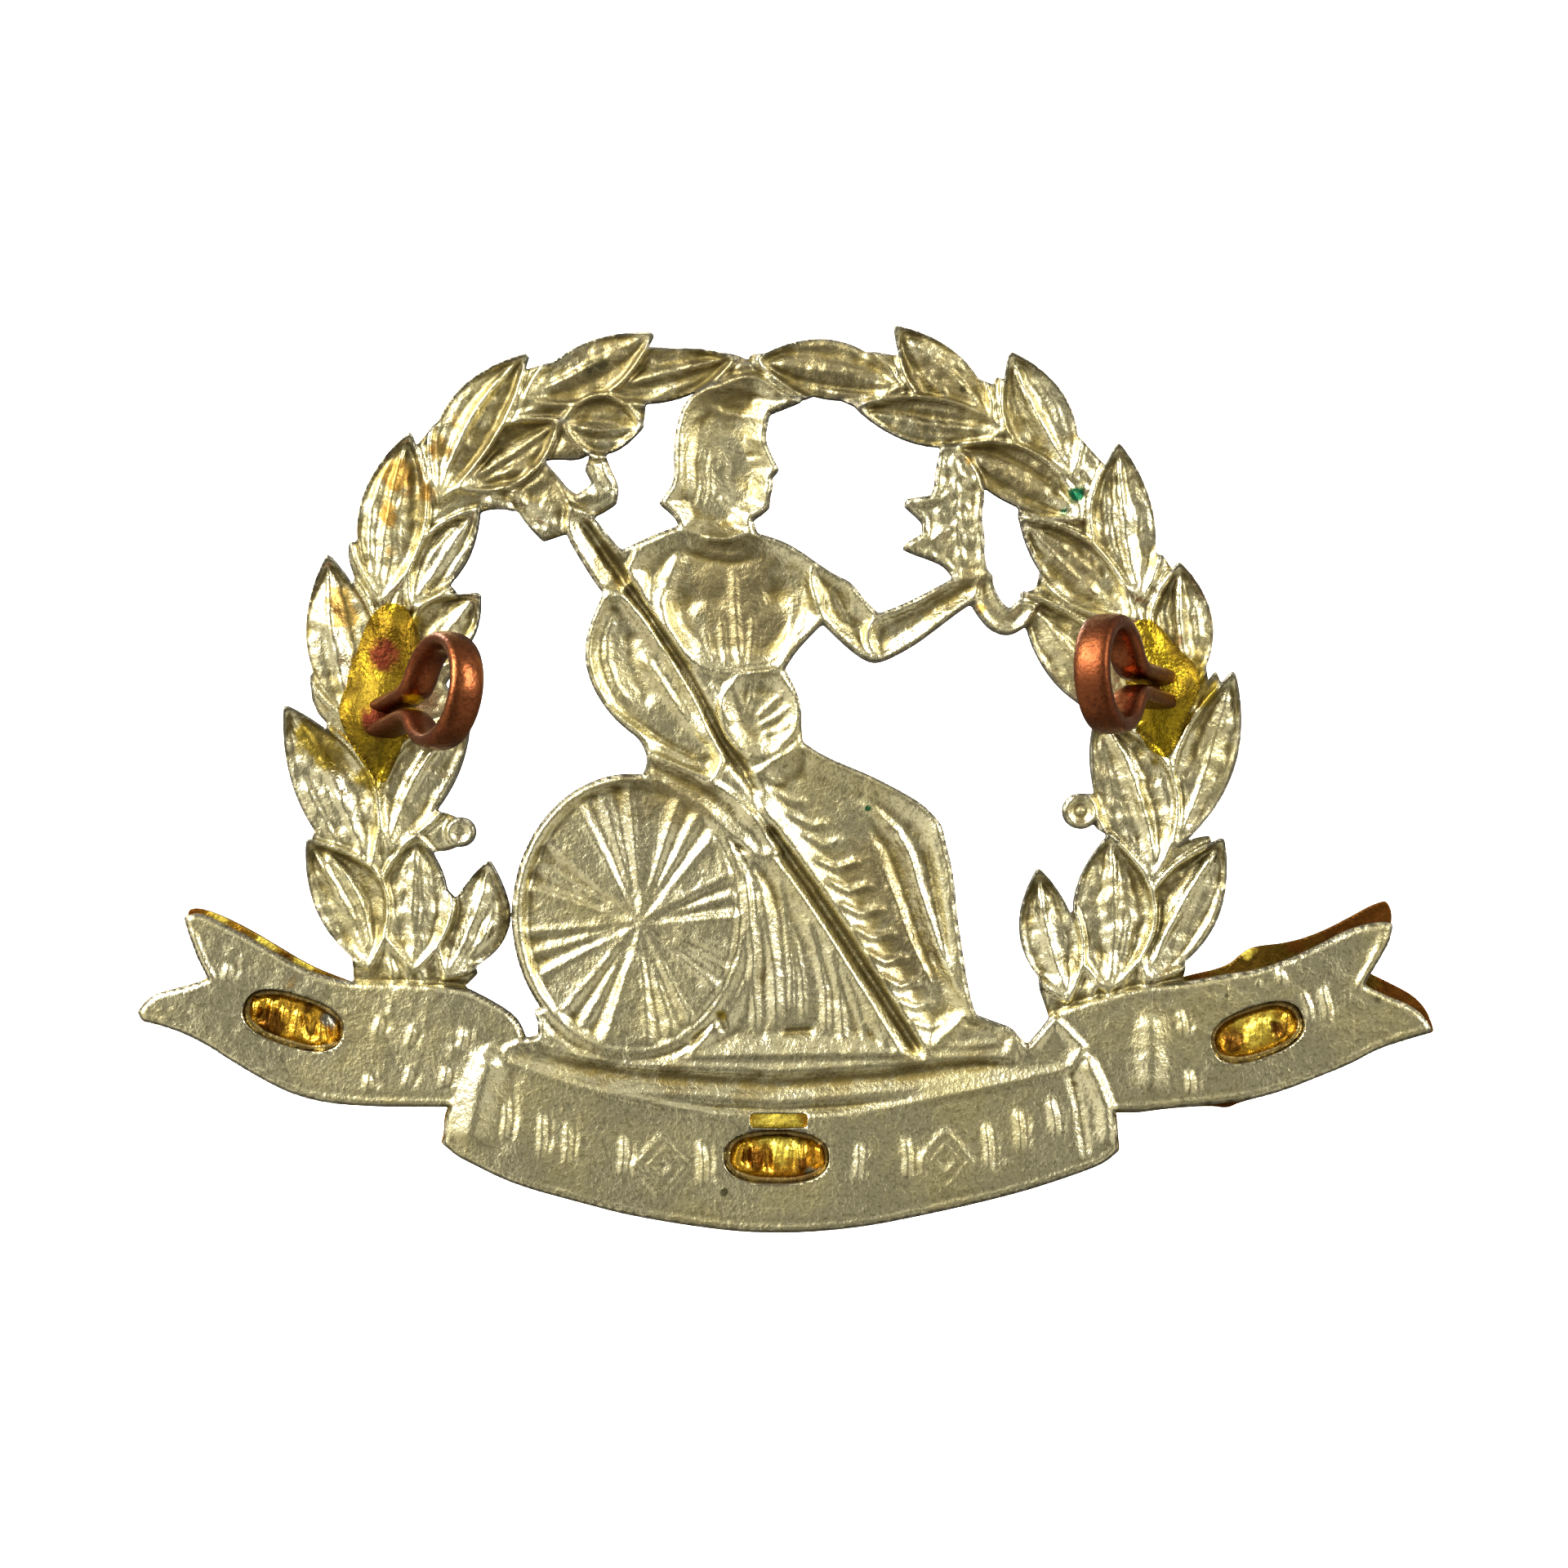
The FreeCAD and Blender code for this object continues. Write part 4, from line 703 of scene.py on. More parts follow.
def scroll_marks(relief, sign=1.0):
    """Plain upright marks, lozenges and folds. A sign under zero turns them over, for the scroll's front."""
    rng = np.random.default_rng(8)
    for low, high in BILLETS:
        lean, cut = rng.uniform(-0.12, 0.12), rng.uniform(0.0, 0.5)
        low = (low[0] - lean, low[1] + cut)
        middle = ((low[0] + high[0]) / 2 + 0.06, (low[1] + high[1]) / 2)
        height, half_width = rng.uniform(0.09, 0.16), rng.uniform(0.08, 0.12)
        line(relief.back, height * sign, half_width, [low, middle, high], 0.35)
        beside = [(u + 0.24, v) for u, v in (low, middle, high)]
        line(relief.back, -0.05 * sign, 0.11, beside, 0.35)
        foot = (low[0] + rng.uniform(0.3, 0.6), low[1] + rng.uniform(0.1, 0.9))
        tip = (foot[0] + 0.1, foot[1] + rng.uniform(0.3, 0.8))
        line(relief.back, 0.05 * sign, 0.07, [foot, tip], 0.3)
    for u, v in LOZENGES:
        for k in (0.42, 0.85):
            ring = [(u - k, v), (u, v + k * 1.15), (u + k, v), (u, v - k * 1.15), (u - k, v)]
            line(relief.back, 0.06 * sign, 0.12, ring, 0)
    for height, *row in FOLDS:
        line(relief.back, height * sign, *row)


def plate_relief():
    """The whole white-metal plate before its windows are cut."""
    relief = Relief(BRANCH_LEVEL)
    rng = np.random.default_rng(4)
    for points in (LEFT_BRANCH, RIGHT_BRANCH):
        relief.add(branch_outline(points))
    for web in WREATH_WEBS:
        relief.add(smoothed(web, 50, 1))
    relief.back += 0.012 * ROUGHCAST
    for points in (LEFT_BRANCH, RIGHT_BRANCH):
        for shift in (-0.45, 0.05, 0.5):
            beside = [(u + shift, v + shift * 0.1) if v < 7 else (u + shift * 0.3, v + shift * 0.8)
                      for u, v, _ in points]
            line(relief.back, 0.14, 0.13, beside, 0)
    for leaves in (LEFT_LEAVES, RIGHT_LEAVES):
        for leaf in leaves[::-1]:
            leaf_relief(relief, leaf, rng)
    for centre, radius in BERRIES:
        win, d = relief.add(oval(centre, radius, radius, n=24))
        relief.lay(win, d, -0.12 - 0.25 * smoothstep(0.1, 0.4, d), 0.06)
        bump(relief.back, centre, 0.14, 0.12)
    scroll_relief(relief)
    figure_relief(relief)
    relief.back += 0.008 * ROUGHCAST * smoothstep(-12.5, -11.5, VV)
    scroll_marks(relief)
    return relief


def figure_relief(relief):
    """Ground, seated figure, shield, trident and sprig, each laid over the one before."""
    for points in (GROUND, BODY, HEAD, TRIDENT_HEAD, SPRIG, SPRIG_STALK):
        relief.add(smoothed(points))
    part_relief(relief, smoothed(GROUND), 0.0, 0.12, 0.5, 0.08, 0.03)
    for row in GROUND_LINES:
        line(relief.back, *row)
    part_relief(relief, smoothed(BODY), -0.1, 0.1, 0.5)
    part_relief(relief, smoothed(SKIRT), -0.08, 0.25, 0.9)
    shield_relief(relief)
    part_relief(relief, smoothed(LEG), -0.05, 0.34, 0.95)
    part_relief(relief, smoothed(FOOT), -0.05, 0.14, 0.5, 0.25, 0.02)
    part_relief(relief, oval(*HIP), -0.06, 0.25, 0.8)
    for points, *form in (
        (RAISED_ARM, -0.08, 0.22, 0.5),
        (TORSO, -0.06, 0.32, 0.9),
        (CLOAK, -0.04, 0.3, 0.6, 0.09, 0.08),
        (SLEEVE, -0.04, 0.18, 0.5),
        (UPPER_ARM, -0.05, 0.32, 0.6),
        (FOREARM, -0.04, 0.26, 0.5),
    ):
        part_relief(relief, smoothed(points), *form)
    for row in FIGURE_LINES:
        line(relief.back, *row)
    for row in FIGURE_BUMPS:
        bump(relief.back, *row)
    part_relief(relief, smoothed(HEAD), -0.06, 0.4, 0.8, rim=0.06)
    for row in HEAD_LINES:
        line(relief.back, *row)
    for row in HEAD_BUMPS:
        bump(relief.back, *row)
    for row in TRIDENT_TINES:
        line(relief.back, *row, 0.1)
    for shaft in (TRIDENT_UPPER, TRIDENT_LOWER):
        line(relief.back, 0.09, 0.34, shaft, 0.04)
        line(relief.back, -0.4, 0.19, shaft, 0.04)
    win, d = part_relief(relief, smoothed(SPRIG), -0.16, 0.08, 0.3)
    relief.back[win] += 0.03 * ROUGHCAST[win] * smoothstep(0.0, 0.3, d)
    part_relief(relief, smoothed(SPRIG_STALK), -0.12, 0.16, 0.3)
    for points in SPRIG_VEINS:
        line(relief.back, 0.1, 0.1, points)


# ------------------------------------------------------------------ meshes


def filled_outwards(field, solid, rounds=3):
    """Carries heights a little past the edge of the metal, so that cuts across a cell read true."""
    field = np.where(solid, field, 0.0)
    known = solid.astype(float)
    for _ in range(rounds):
        total = np.zeros_like(field)
        count = np.zeros_like(field)
        for di, dj in ((0, 1), (0, -1), (1, 0), (-1, 0), (1, 1), (-1, -1), (1, -1), (-1, 1)):
            k = np.roll(known, (di, dj), (0, 1))
            total += k * np.roll(field, (di, dj), (0, 1))
            count += k
        new = (known == 0) & (count > 0)
        field = np.where(new, total / np.maximum(count, 1), field)
        known = np.where(new, 1.0, known)
    return field


def new_object(name, points, faces, is_smooth):
    """Object from points in mm."""
    mesh = bpy.data.meshes.new(name)
    mesh.from_pydata((np.array(points) * MM).tolist(), [], faces)
    mesh.polygons.foreach_set("use_smooth", is_smooth)
    mesh.validate()
    obj = bpy.data.objects.new(name, mesh)
    bpy.context.scene.collection.objects.link(obj)
    return obj


def add_mark(obj, mark_name, values):
    attribute = obj.data.attributes.new(mark_name, "FLOAT", "POINT")
    attribute.data.foreach_set("value", np.array(values, np.float32))


def sheet_mesh(name, inside, back, front, marks):
    """Closed sheet between two heights, cut along inside = 0.

    marks gives a pair of fields by name, for the back and for the front.
    """
    inside = np.where(np.abs(inside) < 0.02 * PITCH, -0.02 * PITCH, inside)
    inside[0, :] = inside[-1, :] = inside[:, 0] = inside[:, -1] = -1.0
    solid = inside > 0
    layers = [UU, VV] + [filled_outwards(f, solid) for f in (back, front, *sum(marks.values(), ()))]
    index = np.full(inside.shape, -1)
    index[solid] = np.arange(solid.sum())
    values = [np.stack([f[solid] for f in layers], 1)]
    count = int(solid.sum())
    crossing = []
    for di, dj in ((0, 1), (1, 0)):
        a = inside[: inside.shape[0] - di, : inside.shape[1] - dj]
        b = inside[di:, dj:]
        hit = (a > 0) != (b > 0)
        t = a[hit] / (a[hit] - b[hit])
        ids = np.full(inside.shape, -1)
        ids[: a.shape[0], : a.shape[1]][hit] = count + np.arange(hit.sum())
        crossing.append(ids)
        count += int(hit.sum())
        at_cuts = [f[: a.shape[0], : a.shape[1]][hit] * (1 - t) + f[di:, dj:][hit] * t for f in layers]
        values.append(np.stack(at_cuts, 1))
    values = np.concatenate(values)
    along_u, along_v = crossing
    # Whole cells keep their four corners. Cut cells keep the corners that are in the metal, and the cuts.
    n_in = solid[:-1, :-1].astype(int) + solid[:-1, 1:] + solid[1:, 1:] + solid[1:, :-1]
    i, j = np.nonzero(n_in == 4)
    faces = np.stack([index[i, j], index[i, j + 1], index[i + 1, j + 1], index[i + 1, j]], 1).tolist()
    walls = []
    for i, j in zip(*np.nonzero((n_in > 0) & (n_in < 4))):
        corners = (index[i, j], index[i, j + 1], index[i + 1, j + 1], index[i + 1, j])
        cuts = (along_u[i, j], along_v[i, j + 1], along_u[i + 1, j], along_v[i, j])
        loop, cut_at = [], []
        for k in range(4):
            if corners[k] >= 0:
                loop.append(int(corners[k]))
                cut_at.append(False)
            if (corners[k] >= 0) != (corners[(k + 1) % 4] >= 0):
                loop.append(int(cuts[k]))
                cut_at.append(True)
        faces.append(loop)
        for k in range(len(loop)):
            after = (k + 1) % len(loop)
            if cut_at[k] and cut_at[after]:
                walls.append((loop[k], loop[after]))
    n = len(values)
    front_faces = [[p + n for p in f[::-1]] for f in faces]
    wall_faces = [[q, p, p + n, q + n] for p, q in walls]
    points = np.zeros((2 * n, 3))
    points[:n] = np.stack([-values[:, 0], values[:, 2], values[:, 1]], 1)
    points[n:] = np.stack([-values[:, 0], values[:, 3], values[:, 1]], 1)
    is_smooth = [True] * 2 * len(faces) + [False] * len(wall_faces)
    obj = new_object(name, points, faces + front_faces + wall_faces, is_smooth)
    for k, mark_name in enumerate(marks):
        add_mark(obj, mark_name, np.concatenate([values[:, 4 + 2 * k], values[:, 5 + 2 * k]]))
    return obj


# ------------------------------------------------------------------ plate and overlay

# Stains by name. A spot is (right, up, radius, strength).
PLATE_STAINS = {
    "orange": [
        (-14.3, 2.8, 0.6, 0.9), (-14.5, 3.6, 0.5, 0.8), (-12.5, 7.6, 0.7, 1.0), (-12.9, 6.2, 0.5, 0.9),
        (-12.7, 5.0, 0.4, 0.5), (-11.1, 8.4, 0.5, 0.8), (-10.6, 9.4, 0.5, 0.6), (-11.6, 6.9, 0.4, 0.7),
        (-14.9, -0.2, 0.5, 0.4), (-16.0, -9.2, 0.5, 0.5), (13.0, -9.0, 0.4, 0.5), (6.8, 3.1, 0.3, 0.9),
        (6.4, 8.0, 0.3, 0.6),
    ],
    "olive": [
        (-15.4, -1.0, 0.8, 0.9), (-14.8, -1.8, 0.7, 0.7), (-13.4, -2.6, 0.7, 0.9), (-12.4, 3.0, 0.7, 0.6),
        (13.9, 1.0, 0.8, 0.9), (14.2, 0.2, 0.6, 0.7), (12.6, -1.9, 0.6, 0.6), (-12.0, 2.5, 0.6, 0.5),
        (-1.8, -10.4, 0.35, 0.7),
    ],
    "tarnish": [
        (-5.6, 4.5, 0.9, 0.9), (-8.6, 7.9, 1.5, 0.9), (-6.6, 9.4, 1.2, 0.9), (-10.2, 8.2, 0.9, 0.6),
        (6.6, 4.2, 0.4, 0.9), (-5.8, -12.1, 0.9, 0.7), (-3.4, -12.5, 0.9, 0.8), (-0.8, -12.7, 0.9, 0.8),
        (1.8, -12.6, 0.9, 0.8), (4.4, -12.2, 0.9, 0.8), (6.8, -11.7, 0.8, 0.7), (-1.6, 4.2, 2.2, 0.9),
        (-0.4, 2.2, 1.6, 0.6), (-5.5, 11.2, 1.8, 0.9), (-2.2, 11.3, 1.4, 0.9), (1.6, 11.0, 1.8, 1.0),
        (5.2, 10.3, 1.8, 0.9), (8.0, 7.6, 1.8, 0.9), (9.8, 4.6, 1.5, 0.8), (3.4, -5.5, 1.6, 0.9),
        (4.3, -8.5, 1.6, 0.8), (-2.8, -3.3, 1.2, 0.7), (-4.6, -3.0, 1.4, 0.7), (-6.8, 7.0, 1.2, 0.6),
        (-1.5, 10.0, 0.9, 0.8), (5.4, 3.0, 1.6, 0.6), (-12.2, -6.2, 1.0, 0.5), (11.5, -6.0, 1.0, 0.5),
    ],
    "soot": [
        (-1.7, -16.2, 0.17, 1.0), (9.9, -12.6, 0.2, 0.9), (-6.1, 11.05, 0.4, 0.7), (-5.7, 11.3, 0.3, 0.6),
        (-7.6, 11.4, 0.3, 0.6), (14.9, -9.7, 0.15, 0.8), (6.2, 10.4, 0.16, 0.9), (-2.0, -10.9, 0.3, 0.7),
        (19.9, -9.85, 0.25, 0.8),
    ],
    "green": [
        (9.95, 6.9, 0.34, 1.0), (9.55, 6.35, 0.22, 0.8), (3.05, -3.5, 0.15, 0.9), (8.3, -11.3, 0.12, 0.5),
        (-2.4, -2.9, 0.1, 0.4),
    ],
}
OVERLAY_STAINS = {
    "lemon": [
        (0.0, -13.83, 0.9, 1.0), (-15.7, -10.5, 0.8, 0.45), (0.4, -15.0, 0.9, 0.5), (15.5, -11.0, 0.9, 0.6),
        (16.4, -10.7, 0.6, 0.6), (15.7, -8.35, 0.3, 0.8), (-18.6, -7.2, 0.5, 0.8), (-17.0, -8.0, 0.6, 0.9),
        (-15.6, -8.7, 0.5, 0.8),
    ],
    "brown": [
        (-16.75, -10.65, 0.6, 1.0), (-15.5, -10.15, 0.35, 0.8), (-0.7, -15.1, 0.5, 0.9),
        (0.9, -15.3, 0.35, 0.8), (15.2, -11.2, 0.5, 1.0), (16.7, -10.9, 0.4, 0.9), (20.2, -6.9, 0.9, 1.0),
        (18.7, -7.5, 0.8, 1.0), (17.3, -8.0, 0.5, 0.9), (14.2, -9.2, 0.5, 0.8), (20.6, -9.4, 0.7, 1.0),
        (21.6, -10.4, 0.7, 1.0), (15.2, -13.4, 0.6, 0.9), (-19.4, -6.9, 0.4, 0.8), (-16.3, -8.4, 0.3, 0.8),
    ],
    "steel": [(-14.8, -10.5, 0.36, 1.0), (1.15, -15.6, 0.25, 0.9), (13.2, -9.4, 0.5, 0.6)],
}
BRAZE_STAINS = {
    "red": [(-13.0, 1.6, 0.62, 1.0), (-13.15, -0.6, 0.62, 1.0), (12.6, 0.5, 0.4, 0.6)],
    "dark": [
        (-13.1, 0.2, 2.2, 0.62), (-13.8, 0.4, 0.4, 0.6), (-12.5, 2.9, 0.35, 0.6), (13.7, 0.7, 0.4, 0.7),
        (12.2, 2.2, 0.3, 0.6), (-13.3, -1.7, 0.35, 0.6), (12.3, -1.2, 0.35, 0.6),
    ],
}


def spot_mark(spots):
    """Soft spots on a sheet's back, and none on its front."""
    field = np.zeros(UU.shape)
    for u, v, radius, strength in spots:
        bump(field, (u, v), radius, strength)
    return np.clip(field, 0, 1), np.zeros(UU.shape)


def stain_marks(stains):
    return {stain: spot_mark(spots) for stain, spots in stains.items()}


def cavity(back, front, solid):
    """How far each point of both sides lies under its surroundings, in mm."""
    carried = filled_outwards(back, solid, 6), filled_outwards(-front, solid, 6)
    return tuple(blurred(side, 0.35) - side for side in carried)


def build_plate(relief, outer, struck_back):
    """The plate with its windows cut. outer is the distance in from its outline, windows left out."""
    for pane in WINDOWS.values():
        relief.pierce(pane_outline(pane))
    relief.pierce(SLOT)
    inside = blurred(relief.inside, EDGE_BLUR)
    back = struck_back - 0.055 * (1 - smoothstep(0.0, 0.2, outer))
    front = back * 1.05 - PLATE_THICKNESS
    front += 0.12 * (1 - smoothstep(0.0, 0.2, inside))
    for points in (LEFT_OVERLAY, RIGHT_OVERLAY, PANEL):
        win = window(points, 0.6)
        under_overlay = inside_distance(points, win) > -0.12
        front[win] = np.where(under_overlay, np.maximum(front[win], OVERLAY_BACK + 0.02), front[win])
    front = np.minimum(front, back - PLATE_LEAST)
    # Painted shade: a thin dark band along the plate's outline and round its cut windows, and a dark spot at
    # each leaf tip, carried by the edge mark.
    rim = 1 - smoothstep(0.03, 0.17, outer)
    rim = np.maximum(rim, 0.75 * (1 - smoothstep(0.0, 0.14, inside)))
    shaded_leaf_tips = [(*tip, 0.3, 0.75) for _, tip, _, _ in LEFT_LEAVES + RIGHT_LEAVES]
    return sheet_mesh("plate_relief", inside, back, front, {
        "cavity": cavity(back, front, inside > 0),
        "edge": (np.maximum(rim, spot_mark(shaded_leaf_tips)[0]), rim),
        **stain_marks(PLATE_STAINS),
    })


def build_overlay(outer):
    """The brass scroll. outer is as in build_plate, and the brass that the plate leaves bare gets painted
    shade, darker towards the right.
    """
    relief = Relief(OVERLAY_BACK)
    for points in (LEFT_OVERLAY, RIGHT_OVERLAY):
        relief.add(smoothed(points))
    panel_win, panel_d = relief.add(smoothed(PANEL))
    grown = blurred(relief.inside, EDGE_BLUR)
    panel_inside = np.full(UU.shape, OUTSIDE)
    panel_inside[panel_win] = panel_d + 0.08
    inside = np.maximum(grown, panel_inside)
    rng = np.random.default_rng(5)
    for pane in WINDOWS.values():
        (cu, cv), lean = pane[0], math.radians(pane[3])
        for k in range(-4, 5):
            mu, mv = cu + k * 0.36 * math.cos(lean), cv + k * 0.36 * math.sin(lean)
            mu, mv = mu + rng.uniform(-0.1, 0.1), mv + rng.uniform(-0.15, 0.15)
            tall, slant = rng.uniform(0.25, 0.6), rng.uniform(-0.12, 0.12)
            points = [(mu - slant, mv - tall), (mu, mv), (mu + slant, mv + tall)]
            line(relief.back, rng.choice((-0.16, 0.12, 0.2)), rng.uniform(0.08, 0.13), points, 0.2)
        win = window([(cu, cv)], 2.6)
        d = inside_distance(pane_outline(pane), win)
        relief.back[win] += WINDOW_RISE * smoothstep(-0.05, 0.35, d)
    win = window(SLOT, 0.5)
    relief.back[win] += SLOT_RISE * smoothstep(-0.12, -0.04, inside_distance(SLOT, win))
    back = relief.back + ROUGHCAST * 0.008
    front = np.full(UU.shape, OVERLAY_FRONT)
    front[panel_win] = np.where(panel_d > -0.1, PANEL_FRONT, front[panel_win])
    front = blurred(front, 0.12)
    raised_marks = Relief(0.0)
    scroll_marks(raised_marks, -1.6)
    front += raised_marks.back
    front += 0.08 * ridge(inside, 0.32, 0.1) + 0.12 * (1 - smoothstep(0.0, 0.3, inside))
    # Painted shade on the brass left bare beyond the plate's outline, as if the plate's edge shaded it,
    # heavier towards the right.
    bare_brass_shade = smoothstep(0.1, -0.02, outer) * (0.6 + 0.4 * smoothstep(-12.0, 10.0, UU))
    return sheet_mesh("scroll_relief", inside, back, front, {
        "cavity": cavity(back, front, inside > 0),
        "painted_shade_bare": (0.9 * bare_brass_shade, np.zeros(UU.shape)),
        **stain_marks(OVERLAY_STAINS),
    })


# ------------------------------------------------------------------ loops, brazing and solder

LOOP_INNER_R = 1.35
LOOP_OUTER_R = 1.95
BAND_WIDTH = 1.2
LEG_GAP = 0.16
NECK = 0.55                # the legs part this far under the eye
KNEE = math.radians(34)    # the eye begins at this angle from the leg
LEG_POINTS = 10
KNEE_STEPS = 8
EYE_STEPS = 72
# foot, eye, how far the eye stands off, squareness of the strip's section
LOOPS = {
    "left": ((-13.05, -0.6), (-10.8, 0.32), 3.1, 2.2),
    "right": ((12.75, 0.4), (10.8, 0.85), 3.8, 3.0),
}


def at(point, y):
    """Vector in mm of an outline's point at depth y."""
    return Vector((-point[0], y, point[1]))


def swept_mesh(name, path, frames, profile, closed=False):
    """Tube of the given profile along a path. Each frame is (across, out) at that path point."""
    points, faces = [], []
    n = len(profile)
    for centre, (across, out) in zip(path, frames):
        for a, b in profile:
            points.append(tuple(centre + across * a + out * b))
    rings = len(path)
    for i in range(rings if closed else rings - 1):
        for k in range(n):
            a, b = i * n + k, i * n + (k + 1) % n
            c, d = ((i + 1) % rings) * n + (k + 1) % n, ((i + 1) % rings) * n + k
            faces.append((a, b, c, d))
    if not closed:
        faces.append(tuple(range(n))[::-1])
        faces.append(tuple((rings - 1) * n + k for k in range(n)))
    return new_object(name, points, faces, [True] * len(faces))


def build_loop(name):
    """Strip bent from one leg, round the eye and back down the other leg."""
    foot, eye, height, squareness = LOOPS[name]
    foot_point, eye_point = at(foot, -0.2), at(eye, height)
    leg = (eye_point - foot_point).normalized()
    outward = Vector((1 if eye_point.x > 0 else -1, 0, 0))
    axis = (outward - leg * outward.dot(leg)).normalized()
    side = leg.cross(axis).normalized()
    middle_r = (LOOP_INNER_R + LOOP_OUTER_R) / 2
    half_t = (LOOP_OUTER_R - LOOP_INNER_R) / 2
    offset = half_t + LEG_GAP / 2
    reach = (eye_point - foot_point).length
    start = math.asin(offset / middle_r)
    # One leg, its knee and the eye, as (sideways, along the leg) from the eye's centre.
    flat = []
    for k in range(LEG_POINTS):
        flat.append((offset, -reach + (reach - middle_r - NECK) * k / (LEG_POINTS - 1)))
    low = Vector((offset, -middle_r - NECK))
    joint = Vector((math.sin(KNEE) * middle_r, -math.cos(KNEE) * middle_r))
    corner = Vector((offset + 0.03, -math.cos(start) * middle_r - 0.05))
    for k in range(1, KNEE_STEPS):
        t = k / KNEE_STEPS
        p = low * (1 - t) ** 2 + corner * 2 * t * (1 - t) + joint * t * t
        flat.append((p.x, p.y))
    for k in range(EYE_STEPS + 1):
        a = KNEE + (2 * math.pi - 2 * KNEE) * k / EYE_STEPS
        flat.append((math.sin(a) * middle_r, -math.cos(a) * middle_r))
    flat += [(-s, r) for s, r in flat[LEG_POINTS + KNEE_STEPS - 2::-1]]
    path = [eye_point + side * s + leg * r for s, r in flat]
    frames = []
    for k in range(len(path)):
        along = path[min(k + 1, len(path) - 1)] - path[max(k - 1, 0)]
        out = along.cross(axis).normalized()
        frames.append((axis, out))
    profile = oval((0.0, 0.0), BAND_WIDTH / 2, half_t, power=2 / squareness, n=28)
    loop = swept_mesh("loop_" + name, path, frames, profile)
    fork = eye_point - leg * (middle_r + 0.2)
    spread = 0.42 if name == "left" else 0.2
    near = [math.exp(-(((p.co / MM - fork).length / spread) ** 2)) for p in loop.data.vertices]
    add_mark(loop, "brazed", near)
    return loop


BRAZE_OUTLINES = {
    "left": [(-12.9, 3.35), (-12.2, 3.2), (-11.7, 2.0), (-11.75, 0.5), (-12.2, -1.1), (-13.0, -2.8),
             (-13.5, -2.3), (-14.2, -1.2), (-14.55, -0.2), (-14.2, 0.6), (-13.85, 1.9), (-13.5, 2.8)],
    "right": [(11.9, 2.8), (12.6, 2.75), (13.35, 1.7), (13.95, 1.3), (14.1, 0.5), (13.75, -0.2),
              (13.45, -1.0), (13.0, -1.9), (12.3, -1.6), (11.75, -0.4), (11.55, 0.8), (11.6, 1.9)],
}


def build_braze(name, plate_back):
    """Lumpy brazing metal that follows the plate's back and heaps up round the loop's foot."""
    outline = smoothed(BRAZE_OUTLINES[name], 80)
    inside = np.full(UU.shape, OUTSIDE)
    win = window(outline, 1.0)
    inside[win] = inside_distance(outline, win)
    inside = blurred(inside, 0.12)
    foot = LOOPS[name][0]
    rng = np.random.default_rng(21 if name == "left" else 22)
    lumps = blurred(rng.normal(0, 1, UU.shape), 0.24) * 0.28
    near = ridge(UU, foot[0], 0.95) * ridge(VV, foot[1], 0.95)
    thick = 0.03 + 0.17 * smoothstep(0.0, 0.7, inside) + 0.5 * near + lumps * smoothstep(0.1, 0.5, inside)
    base = blurred(plate_back, 0.4)
    top = np.maximum(base + thick, plate_back + 0.03) + 0.01 * smoothstep(-0.02, 0.15, inside)
    bottom = plate_back - 0.12
    return sheet_mesh("braze_" + name, inside, top, bottom, {
        "cavity": cavity(top, bottom, inside > 0),
        **stain_marks(BRAZE_STAINS),
    })


def build_solder(name):
    """Uneven bead of solder round the inside of a window."""
    n = 96
    outline = pane_outline(WINDOWS[name], SOLDER_INSET, n)
    rng = np.random.default_rng(len(name))
    wobble = rng.normal(0, 1, n)
    wobble = sum(np.roll(wobble, k) for k in range(-3, 4)) / 7
    path = [at(p, SOLDER_DEPTH) for p in outline]
    frames = []
    toward = Vector((0, 1, 0))
    for k in range(n):
        along = (path[(k + 1) % n] - path[k - 1]).normalized()
        size = 1 + 0.35 * wobble[k]
        frames.append((along.cross(toward).normalized() * size, toward * size))
    profile = oval((0.0, 0.0), SOLDER_RADIUS, SOLDER_RADIUS, n=14)
    return swept_mesh("solder_" + name, path, frames, profile, True)


# ------------------------------------------------------------------ materials


class Graph:
    """Node tree of a material or world. A value is a number, a colour or another node's output."""

    def __init__(self, owner):
        owner.use_nodes = True
        self.nodes, self.links = owner.node_tree.nodes, owner.node_tree.links

    def fill(self, node, values):
        """Sets a node's inputs, given by name or number."""
        for key, value in values.items():
            socket = node.inputs[key]
            if isinstance(value, bpy.types.NodeSocket):
                self.links.new(value, socket)
            elif isinstance(value, tuple):
                socket.default_value = (*value, 1.0)
            else:
                socket.default_value = value

    def add(self, kind, values, **settings):
        """Outputs of a new node."""
        node = self.nodes.new(kind)
        for key, value in settings.items():
            setattr(node, key, value)
        self.fill(node, values)
        return node.outputs

    def mix(self, share, a, b):
        return self.add("ShaderNodeMix", {0: share, 6: a, 7: b}, data_type="RGBA")[2]

    def math(self, operation, *values):
        return self.add("ShaderNodeMath", dict(enumerate(values)), operation=operation)[0]

    def ramp(self, value, low, high, out_low=0.0, out_high=1.0):
        values = dict(enumerate((value, low, high, out_low, out_high)))
        return self.add("ShaderNodeMapRange", values, interpolation_type="SMOOTHSTEP")[0]

    def noise(self, coords, scale, detail=4.0):
        values = {"Vector": coords, "Scale": scale, "Detail": detail, "Roughness": 0.55}
        return self.add("ShaderNodeTexNoise", values)["Fac"]

    def mark(self, name):
        return self.add("ShaderNodeAttribute", {}, attribute_name=name)["Fac"]


